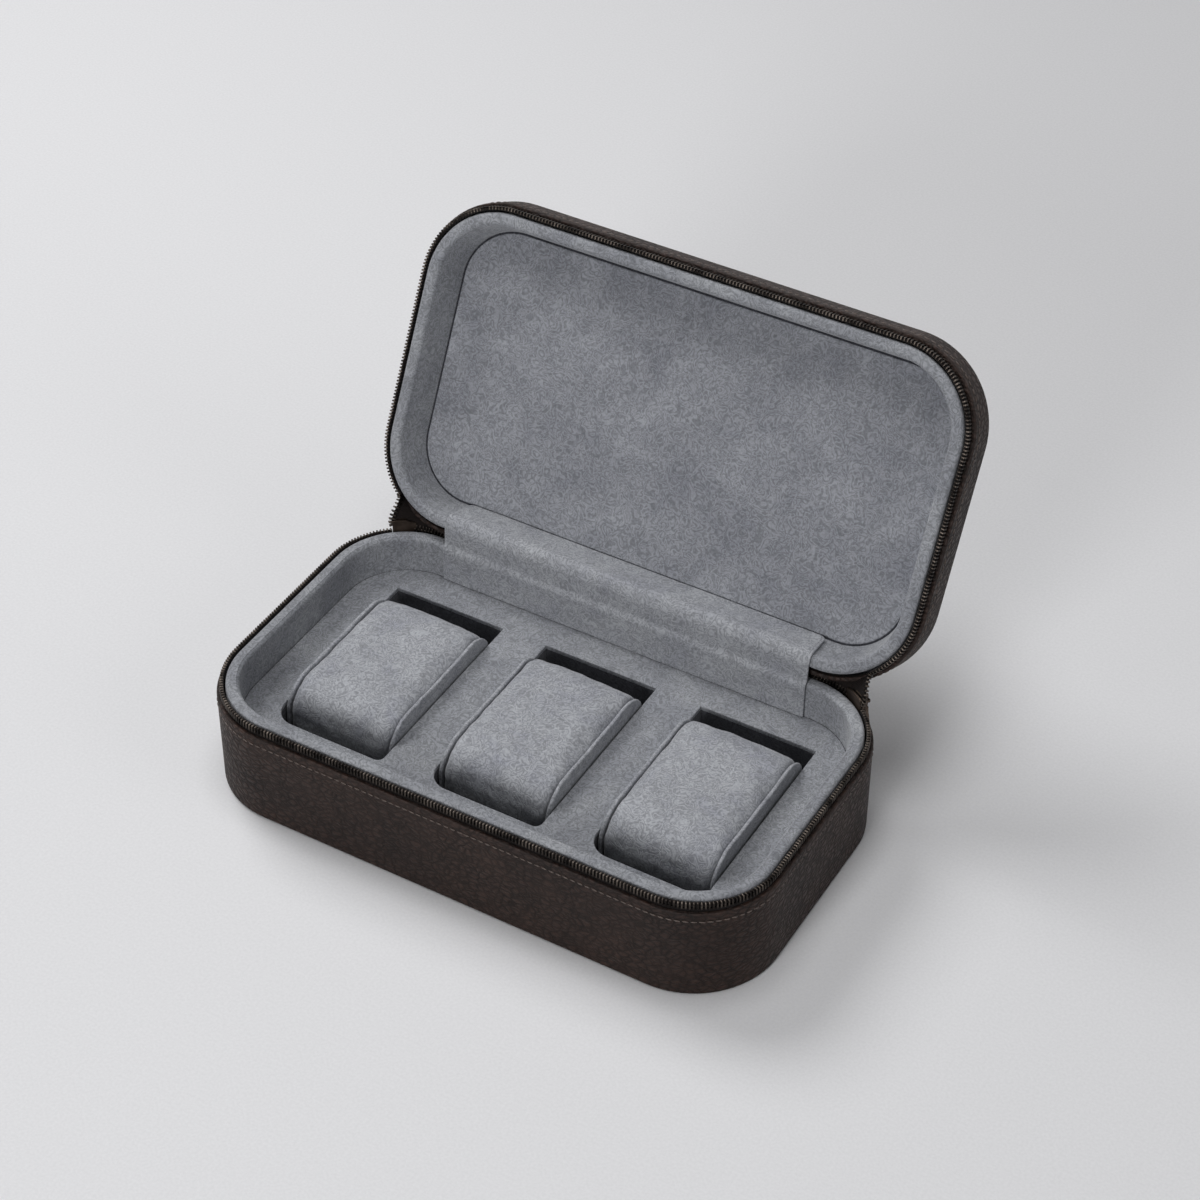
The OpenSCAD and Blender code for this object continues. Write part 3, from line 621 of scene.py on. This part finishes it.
zip_half("base", IDENTITY, BASE_H - HEAD_SUNK - TOOTH_H / 2, "base")
zip_half("lid", OPEN_LID, HEAD_SUNK + TOOTH_H / 2, "lid")


# ------------------------------------------------------------------ cushions

CUSHION_L, CUSHION_Z0, CUSHION_TOP, CUSHION_PITCH = 72.0, 4.8, 39.0, 70.0
# how much the top rises to its middle, how far the front bulges, and the round ends
CUSHION_CROWN, FRONT_BULGE, END_R = 1.8, 1.5, 12.0
# the side seams, from the cushion's middle, and the side panels' thickness
SEAM_X, PANEL_THICK = 23.0, 1.45


def cushion_core():
    """Block of the cushion between its side seams, with round ends and soft bottom edges."""
    bm = bmesh.new()
    # room for the stuffing to swell, and the round of the foot
    room_x, room_y, foot_r = 0.6, 1.0, 3
    high = CUSHION_TOP - CUSHION_CROWN - CUSHION_Z0
    size = (2 * SEAM_X - room_x, CUSHION_L - room_y, high)
    bmesh.ops.create_cube(bm, size=1, matrix=Matrix.Translation((0, 0, CUSHION_Z0 + high / 2))
                          @ Matrix.Diagonal((*size, 1)))
    across = [e for e in bm.edges if abs(e.verts[0].co.x - e.verts[1].co.x) > 1]
    upper = [e for e in across if e.verts[0].co.z > CUSHION_Z0 + 1]
    lower = [e for e in across if e.verts[0].co.z < CUSHION_Z0 + 1]
    bmesh.ops.bevel(bm, geom=upper, offset=END_R, offset_type="OFFSET", segments=10, profile=0.5,
                    affect="EDGES", material=-1)
    lower = [e for e in lower if e.is_valid]
    bmesh.ops.bevel(bm, geom=lower, offset=foot_r, offset_type="OFFSET", segments=3, profile=0.5,
                    affect="EDGES", material=-1)
    return bm


def stuffed():
    """The cushion's core, remeshed and blown up a little by cloth pressure, in metres."""
    voxel, most_swell, frames = 1.9 * MM, 0.9 * MM, 20
    bm = cushion_core()
    bmesh.ops.transform(bm, matrix=TO_METRES, verts=bm.verts)
    mesh = bpy.data.meshes.new("core")
    bm.to_mesh(mesh)
    bm.free()
    core = show("core", mesh)
    bpy.context.view_layer.objects.active = core
    remesh = core.modifiers.new("remesh", "REMESH")
    remesh.mode = "VOXEL"
    remesh.voxel_size = voxel
    bpy.ops.object.modifier_apply(modifier="remesh")
    start = [v.co.copy() for v in core.data.vertices]
    cloth = core.modifiers.new("cloth", "CLOTH")
    cloth.settings.use_pressure = True
    cloth.settings.uniform_pressure_force = 4
    cloth.settings.effector_weights.gravity = 0
    for step in range(1, frames + 1):
        bpy.context.scene.frame_set(step)
    bpy.ops.object.modifier_apply(modifier="cloth")
    bpy.context.scene.frame_set(1)
    for vertex, was in zip(core.data.vertices, start):
        moved = vertex.co - was
        if moved.length > most_swell:
            vertex.co = was + moved * (most_swell / moved.length)
    fine = core.modifiers.new("fine", "SUBSURF")
    fine.levels = fine.render_levels = 1
    bpy.ops.object.modifier_apply(modifier="fine")
    mesh = core.data
    bpy.data.objects.remove(core)
    return mesh


STUFFED = stuffed()


def clamp(value, low, high):
    """The value, kept between low and high."""
    return max(low, min(high, value))


def bulged(y, z):
    """The front of a cushion, pushed forward below its rounded edge by the stuffing. The push grows
    from 22 to 35 mm before the middle, and from 36 down to 27 mm of height."""
    near_front = clamp((-y - 22) / 13, 0.0, 1.0)
    below_edge = clamp((36 - z) / 9, 0.0, 1.0)
    return y - FRONT_BULGE * near_front * below_edge


def cushion_shape(i, x0):
    """One cushion's cover: a crowned top, drawn in to the side seams, and slightly uneven."""
    bm = bmesh.new()
    bm.from_mesh(STUFFED)
    bmesh.ops.transform(bm, matrix=Matrix.Scale(1 / MM, 4), verts=bm.verts)
    half_l = CUSHION_L / 2 - 0.1
    # the unevenness: long and short waves, and its depth
    wave, ripple, depth = 9.0, 4.5, 0.45
    for v in bm.verts:
        share = max(0.0, (v.co.z - CUSHION_Z0) / (CUSHION_TOP - CUSHION_Z0))
        across = min(1.0, abs(v.co.x) / SEAM_X)
        v.co.z += CUSHION_CROWN * (1 - across * across) * share**3
        uneven = noise.noise(v.co / wave + Vector((7.3 * i, 2.1, 4.7)))
        uneven += 0.5 * noise.noise(v.co / ripple + Vector((3.1 * i, 8.2, 0.7)))
        v.co += v.normal * depth * uneven * min(1, share * 3)
        v.co.x = clamp(v.co.x, -SEAM_X, SEAM_X)
        v.co.y = bulged(clamp(v.co.y, -half_l, half_l), v.co.z)
        v.co.z = clamp(v.co.z, CUSHION_Z0, CUSHION_TOP + 0.1)
    bmesh.ops.translate(bm, vec=(x0, 0, 0), verts=bm.verts)
    return bm


def side_loop():
    """The cushion's side view as (y, z), from the front foot over the top to the back foot."""
    half_l, top, spacing = CUSHION_L / 2 - 0.3, CUSHION_TOP - CUSHION_CROWN, 1.0
    points = [(-half_l + 1.5, CUSHION_Z0 + 0.3)]
    z = CUSHION_Z0 + 2
    while z < top - END_R:
        points.append((-half_l, z))
        z += spacing
    for a in range(0, 90, 5):
        points.append((-half_l + END_R - END_R * math.cos(math.radians(a)),
                       top - END_R + END_R * math.sin(math.radians(a))))
    y = -half_l + END_R
    while y < 0:
        points.append((y, top))
        y += spacing
    return points + [(-y, z) for y, z in reversed(points)]


def add_cushion(i, body):
    """A padded cushion: its cover, and the panels sewn on its sides, which stand up at the
    seams."""
    # the panel's edge is felt for inside the seam, set just short of it, and rounded
    probe_in, short_of, edge_r = 1.6, 0.996, 0.6
    x0 = (i - 2) * CUSHION_PITCH
    bm = cushion_shape(i, x0)
    tree = BVHTree.FromBMesh(bm)
    pad = finish(bm, "cushion_%d_cover" % i, SUEDE_PAD, body, 180)
    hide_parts("cushion_%d" % i)
    panels = bmesh.new()
    for side in (-1, 1):
        loop = []
        for y, z in side_loop():
            probe = Vector((x0 + side * (SEAM_X - probe_in), bulged(y, z), z))
            seat = tree.find_nearest(probe)[0]
            seat.x = x0 + side * SEAM_X * short_of
            loop.append(panels.verts.new(seat))
        face = panels.faces.new(loop)
        made = bmesh.ops.extrude_face_region(panels, geom=[face])["geom"]
        outer = [g for g in made if isinstance(g, bmesh.types.BMVert)]
        bmesh.ops.translate(panels, vec=(side * PANEL_THICK, 0, 0), verts=outer)
        rims = [e for e in panels.edges if len({round(v.co.x, 3) for v in e.verts}) == 1
                and (e.verts[0].co.x - x0) * side > 0]
        bmesh.ops.bevel(panels, geom=rims, offset=edge_r, offset_type="OFFSET", segments=3,
                        profile=0.5, affect="EDGES", material=-1)
    finish(panels, "cushion_%d_side_panels" % i, SUEDE_PAD, body, 60)


for i, body in ((1, "cushion_left"), (2, "cushion_middle"), (3, "cushion_right")):
    add_cushion(i, body)


# ------------------------------------------------------------------ hinge


def lid_point(v, n):
    """(y, z) of a point in the open lid, v in from its back face and n up from its rim plane."""
    at = OPEN_LID @ Vector((0, CASE_D / 2 - v, n))
    return Vector((at.y, at.z))


def arc(centre, r, a0, a1, n):
    """Points of an arc, angles in degrees."""
    turns = [math.radians(a0 + (a1 - a0) * i / n) for i in range(n + 1)]
    return [centre + r * Vector((math.cos(a), math.sin(a))) for a in turns]


def flap_line():
    """The flap's middle line in Y and Z: up the rear wall, in a soft S over the rim and into the
    lid."""
    off = FLAP_CLEAR + FLAP_T / 2
    # radii of the bend round a rim and of the bend back, which starts halfway over the base's rim
    wrap, sway, half_over = RIM_EDGE_R + off, 2.6, math.radians(135)
    round_at = Vector((CASE_D / 2 - RIM_END + RIM_EDGE_R, BASE_H - RIM_EDGE_R))
    fold = round_at + (wrap + sway) * Vector((math.cos(half_over), math.sin(half_over)))
    outer = lid_point(RIM_IN + RIM_EDGE_R, RIM_EDGE_R)
    reach = outer - fold
    cross = math.asin((sway + wrap) / reach.length)
    leave = math.degrees(math.atan2(reach.y, reach.x) + cross) - 90
    slope = math.atan2(PANEL_IN, PANEL_DEPTH + PANEL_T - RIM_EDGE_R)
    in_v, end_n = RIM_END - RIM_EDGE_R, PANEL_DEPTH - 0.6
    line = [Vector((CASE_D / 2 - RIM_END - off, DECK_Z + 0.2))]
    line += arc(round_at, wrap, 180, 135, 6)
    line += arc(fold, sway, -45, leave, 6)[1:]
    line += arc(outer, wrap, leave + 180, 270 - OPEN_ANGLE, 5)
    for i in range(9):
        a = (math.pi / 2 - slope) * i / 8
        line.append(lid_point(in_v + wrap * math.sin(a), RIM_EDGE_R - wrap * math.cos(a)))
    end_v = in_v + wrap / math.cos(slope) + (end_n - RIM_EDGE_R) * math.tan(slope)
    return line + [lid_point(end_v, end_n)]


def even(line, spacing):
    """The same line with points a fixed distance apart."""
    marks = [0.0]
    for a, b in zip(line, line[1:]):
        marks.append(marks[-1] + (b - a).length)
    count = max(2, round(marks[-1] / spacing))
    found, j = [], 0
    for i in range(count + 1):
        s = marks[-1] * i / count
        while j < len(marks) - 2 and marks[j + 1] < s:
            j += 1
        t = (s - marks[j]) / (marks[j + 1] - marks[j])
        found.append(line[j].lerp(line[j + 1], t))
    return found, marks[-1]


def cross_sheet(line, width, columns):
    """A sheet whose section is the line and which runs along X."""
    bm = bmesh.new()
    verts = [bm.verts.new((-width / 2, p.x, p.y)) for p in line]
    edges = [bm.edges.new(pair) for pair in zip(verts, verts[1:])]
    for _ in range(columns):
        made = bmesh.ops.extrude_edge_only(bm, edges=edges)["geom"]
        new = {g for g in made if isinstance(g, bmesh.types.BMVert)}
        edges = [g for g in made if isinstance(g, bmesh.types.BMEdge) and set(g.verts) <= new]
        bmesh.ops.translate(bm, vec=(width / columns, 0, 0), verts=list(new))
    return bm


FLAP_LINE, FLAP_L = even(flap_line(), 0.8)
# the round corners of the flap's end in the lid, and how much and how soon it draws in there
FLAP_CORNER_R, FLAP_TAPER, FLAP_TAPER_L = 3.0, 1.2, 13


def flap_half_width(s):
    """Half the flap's width at a distance s along its line."""
    left = FLAP_L - s
    half = FLAP_W / 2 - FLAP_TAPER * max(0, 1 - left / FLAP_TAPER_L)
    if left >= FLAP_CORNER_R:
        return half
    drop = FLAP_CORNER_R - left
    return half - FLAP_CORNER_R + math.sqrt(max(0, FLAP_CORNER_R**2 - drop**2))


def add_flap():
    """The suede flap that covers the hinge inside, with round corners in the lid."""
    # how deep and how long the cloth's ripples are, because it doesn't lie quite flat
    ripple, ripple_l = 0.12, 14
    bm = cross_sheet(FLAP_LINE, FLAP_W, 56)
    # which point of the line each vertex came from
    where = {tuple(round(c, 4) for c in p): i for i, p in enumerate(FLAP_LINE)}
    for v in bm.verts:
        i = where[(round(v.co.y, 4), round(v.co.z, 4))]
        v.co.x *= flap_half_width(FLAP_L * i / (len(FLAP_LINE) - 1)) / (FLAP_W / 2)
    bmesh.ops.recalc_face_normals(bm, faces=bm.faces)
    for v in bm.verts:
        v.co += v.normal * ripple * noise.noise(v.co / ripple_l)
    # the flap's lighter suede is painted light
    flap = finish(bm, "hinge_flap_suede", SUEDE_FLAP_PAINTED_LIGHT, None, 180)
    thicken(flap, FLAP_T)
    edge = flap.modifiers.new("edge", "BEVEL")
    edge.width = 0.35 * MM
    edge.segments = 2
    edge.limit_method = "ANGLE"
    edge.angle_limit = math.radians(50)
    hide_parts("hinge_flap")
    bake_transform(flap)


def sew_flap():
    """The rows of stitches along the flap's two sides."""
    seam_in, seam_pitch, seam_l, seam_t = 1.4, 2.6, 1.9, 0.42
    bm = bmesh.new()
    count = int(FLAP_L / seam_pitch)
    for side in (-1, 1):
        stations = []
        for k in range(count):
            s = FLAP_L * (k + 0.5) / count
            at = s / FLAP_L * (len(FLAP_LINE) - 1)
            i = min(int(at), len(FLAP_LINE) - 2)
            p = FLAP_LINE[i].lerp(FLAP_LINE[i + 1], at - i)
            way = (FLAP_LINE[i + 1] - FLAP_LINE[i]).normalized()
            # the flap's face is on the left of its line, seen from +X
            face = Vector((-way.y, way.x))
            x = side * (flap_half_width(s) - seam_in)
            stations.append(
                Matrix.Translation((x, p.x + face.x * FLAP_T / 2, p.y + face.y * FLAP_T / 2))
                @ Matrix(((0, way.x, way.y), (0, face.x, face.y), (1, 0, 0))).transposed().to_4x4()
            )
        sew(bm, stations, seam_l, seam_t)
    thread = finish(bm, "hinge_flap_stitching", THREAD_GREY)
    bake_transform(thread)


def add_spine():
    """Leather spine across the back. It spans the two hems when the case is shut, and folds outward
    while it is open."""
    thick, flat = 0.9, 11.0
    # the fold's tip stands a little past the case's back, just above the base's hem
    tip = Vector((CASE_D / 2 + 1.8, LEATHER_Z + 1.7))
    line = [
        Vector((CASE_D / 2 - 0.6, LEATHER_Z + 0.1)),
        tip + Vector((-0.4, -0.8)),
        tip,
        tip + Vector((-0.8, 1.1)),
        lid_point(-thick / 2 - 0.05, ZIP_REVEAL + 2.4),
    ]
    line = even(line, 0.5)[0]
    for _ in range(2):
        inner = [(a + 2 * b + c) / 4 for a, b, c in zip(line, line[1:], line[2:])]
        line = [line[0], *inner, line[-1]]
    bm = cross_sheet(line, 2 * RUN_W, 40)
    spine = finish(bm, "spine_leather_strip", LEATHER_PLAIN, None, 180)
    thicken(spine, thick)
    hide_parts("spine_leather")
    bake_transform(spine)


add_flap()
sew_flap()
add_spine()


# ------------------------------------------------------------------ the zip's ends

# How many degrees round the rear corner the slider's nose and tail are.
ZIP_R, ZIP_MID = CORNER_R - TAPE_IN, BASE_H + RIM_GAP / 2
HALF_SLIDER = math.degrees(SLIDER_L / 2 / ZIP_R)
NOSE, TAIL = SLIDER_ANGLE + HALF_SLIDER, SLIDER_ANGLE - HALF_SLIDER
# The tape starts so many degrees before the first tooth and runs on behind the flap. Its anchored
# edge goes in and down behind the leather, and the lead is this share of the lid's tape.
BEFORE, BEHIND, ANCHOR_IN, ANCHOR_DOWN, LEAD_SHARE = 2, 6, 0.35, 1.2, 0.4
# The closed zip sinks inward this far. Its teeth start so many degrees inside the slider and run on
# behind the flap.
SINK, CHAIN_IN, CHAIN_PAST = 1.4, 1, 5
# The lead leaves the lid and enters the slider's inlet along their own lines, this far.
LEAVE_LID, ENTER, ENTER_UP, INLET_UP = 2.5, 3.5, 2.5, 0.9


def at_corner(theta, inset, height=0.0):
    """A point so many degrees round the rear left corner."""
    way_round = RUN_W + (CORNER_R - inset) * math.radians(theta)
    return on_outline(inset, way_round) @ Vector((0, 0, height))


def meshed(theta):
    """The closed zip's middle line, which sinks inward towards the hinge."""
    return at_corner(theta, TAPE_IN + SINK * max(0, 1 - theta / NOSE) ** 0.7, ZIP_MID)


def bezier(p, t):
    """A point of the curve that four points draw, t from 0 to 1."""
    a, b = p[0].lerp(p[1], t), p[1].lerp(p[2], t)
    c = p[2].lerp(p[3], t)
    return a.lerp(b, t).lerp(b.lerp(c, t), t)


def lead_points():
    """The four points that draw the lead, which runs from the open lid's edge into the slider."""
    first = OPEN_LID @ at_corner(TEETH_ANGLE, TAPE_IN)
    start = OPEN_LID @ at_corner(TEETH_ANGLE, TAPE_IN, HEAD_SUNK + TOOTH_H / 2)
    inlet = at_corner(NOSE - 1, TAPE_IN, ZIP_MID + INLET_UP)
    way = (at_corner(NOSE + 2, TAPE_IN) - at_corner(NOSE - 2, TAPE_IN)).normalized()
    along_lid = (OPEN_LID @ at_corner(TEETH_ANGLE - 4, TAPE_IN) - first).normalized()
    above_inlet = inlet + way * ENTER + Vector((0, 0, ENTER_UP))
    return [start, start + along_lid * LEAVE_LID, above_inlet, inlet]


LEAD = lead_points()


def lid_hem(u):
    """The anchored edge of the lid's tape, behind the lid's leather."""
    theta = TEETH_ANGLE + BEFORE - (TEETH_ANGLE + (BEFORE + BEHIND)) * u
    return OPEN_LID @ at_corner(theta, TAPE_IN + ANCHOR_IN, ZIP_REVEAL + ANCHOR_DOWN)


def lid_edge(u):
    """The edge of the lid's tape: down the lead, through the slider, along the closed zip."""
    if u < LEAD_SHARE:
        return bezier(LEAD, u / LEAD_SHARE)
    return meshed(NOSE + (-BEHIND - NOSE) * (u - LEAD_SHARE) / (1 - LEAD_SHARE))


def base_hem(u):
    """The anchored edge of the base's tape, behind the base's leather."""
    return at_corner(NOSE - (NOSE + BEHIND) * u, TAPE_IN + ANCHOR_IN, LEATHER_Z - ANCHOR_DOWN)


def base_edge(u):
    """The edge of the base's tape, along the closed zip."""
    return meshed(NOSE - (NOSE + BEHIND) * u)


def tooth_at(here, ahead, up, shift, size):
    """Station of a tooth that points up from the cord, which runs ahead."""
    out = up.cross(ahead).normalized()
    up = ahead.cross(out)
    return (Matrix.Translation(here + up * shift)
            @ Matrix((ahead, out, up)).transposed().to_4x4() @ Matrix.Diagonal((*size, 1)))


def chain_stations():
    """The closed zip's teeth, which are narrower and point up and down by turns."""
    stations, shift, size = [], 0.85, (0.75, 0.95, 0.9)
    count = int(ZIP_R * math.radians(TAIL + CHAIN_PAST) / TOOTH_PITCH * 2)
    for k in range(count):
        theta = TAIL + CHAIN_IN - (TAIL + (CHAIN_IN + CHAIN_PAST)) * (k + 0.5) / count
        ahead = (meshed(theta + 1) - meshed(theta - 1)).normalized()
        base_side = at_corner(theta, TAPE_IN, LEATHER_Z)
        up = (OPEN_LID @ at_corner(theta, TAPE_IN, ZIP_REVEAL) - base_side).normalized()
        turn = 1 if k % 2 else -1
        turned = (size[0], size[1], size[2] * turn)
        stations.append(tooth_at(meshed(theta), ahead, up, turn * shift, turned))
    return stations


def lead_stations(climb):
    """The open lid's teeth, which run down the lead into the slider."""
    stations, past, near = [], 0.3, 0.02
    count = round(climb / TOOTH_PITCH)
    for k in range(count):
        u = (k + past) / (count + past)
        here = bezier(LEAD, u)
        ahead = (bezier(LEAD, min(1, u + near)) - bezier(LEAD, max(0, u - near))).normalized()
        up = here - lid_hem(u * LEAD_SHARE)
        up = (up - ahead * up.dot(ahead)).normalized()
        stations.append(tooth_at(here, ahead, up, 0, (1, 1, 1)))
    return stations


def add_zip_end(side):
    """Between slider and hinge the zip stays closed: tape and meshed teeth join the two halves. In
    front of the slider, the lid's teeth climb from the slider's nose to the lid's edge."""
    word = "left" if side == 1 else "right"
    mirror = Matrix.Diagonal((side, 1, 1, 1))
    bm = bmesh.new()
    for anchored, free, rows in ((lid_hem, lid_edge, 44), (base_hem, base_edge, 26)):
        made = bmesh.ops.create_grid(bm, x_segments=rows, y_segments=8, size=0.5)["verts"]
        for v in made:
            u, w = v.co.x + 0.5, v.co.y + 0.5
            v.co = anchored(u).lerp(free(u), w)
    bmesh.ops.transform(bm, matrix=mirror, verts=bm.verts)
    band = finish(bm, "zip_end_%s_tape" % word, TAPE, None, 180)
    thicken(band, 0.6)
    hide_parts("zip_end_" + word)
    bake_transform(band)
    marks = [bezier(LEAD, i / 60) for i in range(61)]
    climb = sum((b - a).length for a, b in zip(marks, marks[1:]))

    chain = finish(teeth([mirror @ station for station in chain_stations()]),
                   "zip_end_%s_teeth" % word, TEETH, None, 50)
    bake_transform(chain)
    ladder = finish(teeth([mirror @ station for station in lead_stations(climb)]),
                    "zip_lead_%s_teeth" % word, TEETH, None, 50)
    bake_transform(ladder)


add_zip_end(1)
add_zip_end(-1)


# ------------------------------------------------------------------ studio

PAPER_DARK, PAPER_LIGHT, SKY, FILL, BACKDROP = "#dcdcde", "#e2e2e4", "#f2f2f4", 0.06, 1.0
# each lamp's place in metres, its watts and its width in metres
LAMPS = {
    "lamp_front": ((0, -1.67, 0.72), 14.5, 0.6),
    "lamp_left": ((-1.1, 0.4, 1.35), 16.5, 0.9),
    "lamp_right": ((1.56, 0, 0.9), 3.5, 0.9),
    "lamp_above": ((0, 0, 1.8), 9.5, 0.9),
}
LAMPS_AIM = Vector((0, 0, 0.05))


def add_studio():
    """Pale floor and sky, with a large lamp in front, one at each side and one overhead."""
    bm = bmesh.new()
    bmesh.ops.create_grid(bm, x_segments=8, y_segments=8, size=6)
    mesh = bpy.data.meshes.new("floor")
    bm.to_mesh(mesh)
    bm.free()
    floor = show("floor", mesh)
    material, tree, surface, place = start_material(
        "matt studio paper", 0.9, **{"Specular IOR Level": 0.2}
    )
    # the paper's fibres, 1.1 mm
    fibre = add(tree, "TexNoise", {"Vector": place, "Scale": 900.0, "Detail": 2.0}).outputs["Fac"]
    tone = ramp(tree, fibre, [(0.3, PAPER_DARK), (0.7, PAPER_LIGHT)])
    tree.links.new(tone, surface.inputs["Base Color"])
    bump(tree, surface, (fibre, 0.05, 0.05))
    mesh.materials.append(material)

    world = bpy.data.worlds.new("studio")
    bpy.context.scene.world = world
    world.use_nodes = True
    tree = world.node_tree
    tree.nodes.clear()
    path = add(tree, "LightPath").outputs
    seen = add(tree, "Math", {0: path["Is Camera Ray"], 1: path["Is Glossy Ray"]},
               operation="MAXIMUM")
    seen = add(tree, "Math", {0: seen.outputs[0], 1: path["Is Transmission Ray"]},
               operation="MAXIMUM")
    fill = add(tree, "Background", {"Color": linear(SKY), "Strength": FILL})
    backdrop = add(tree, "Background", {"Color": linear(SKY), "Strength": BACKDROP})
    mix = add(tree, "MixShader", {0: seen.outputs[0], 1: fill.outputs[0], 2: backdrop.outputs[0]})
    add(tree, "OutputWorld", {"Surface": mix.outputs[0]})

    for name, (at, watts, width) in LAMPS.items():
        data = bpy.data.lights.new(name, "AREA")
        data.shape = "DISK"
        data.size = width
        data.energy = watts
        turn = (LAMPS_AIM - Vector(at)).to_track_quat("-Z", "Y").to_matrix().to_4x4()
        show(name, data).matrix_world = Matrix.Translation(at) @ turn


add_studio()
bpy.context.scene.view_settings.view_transform = "Standard"
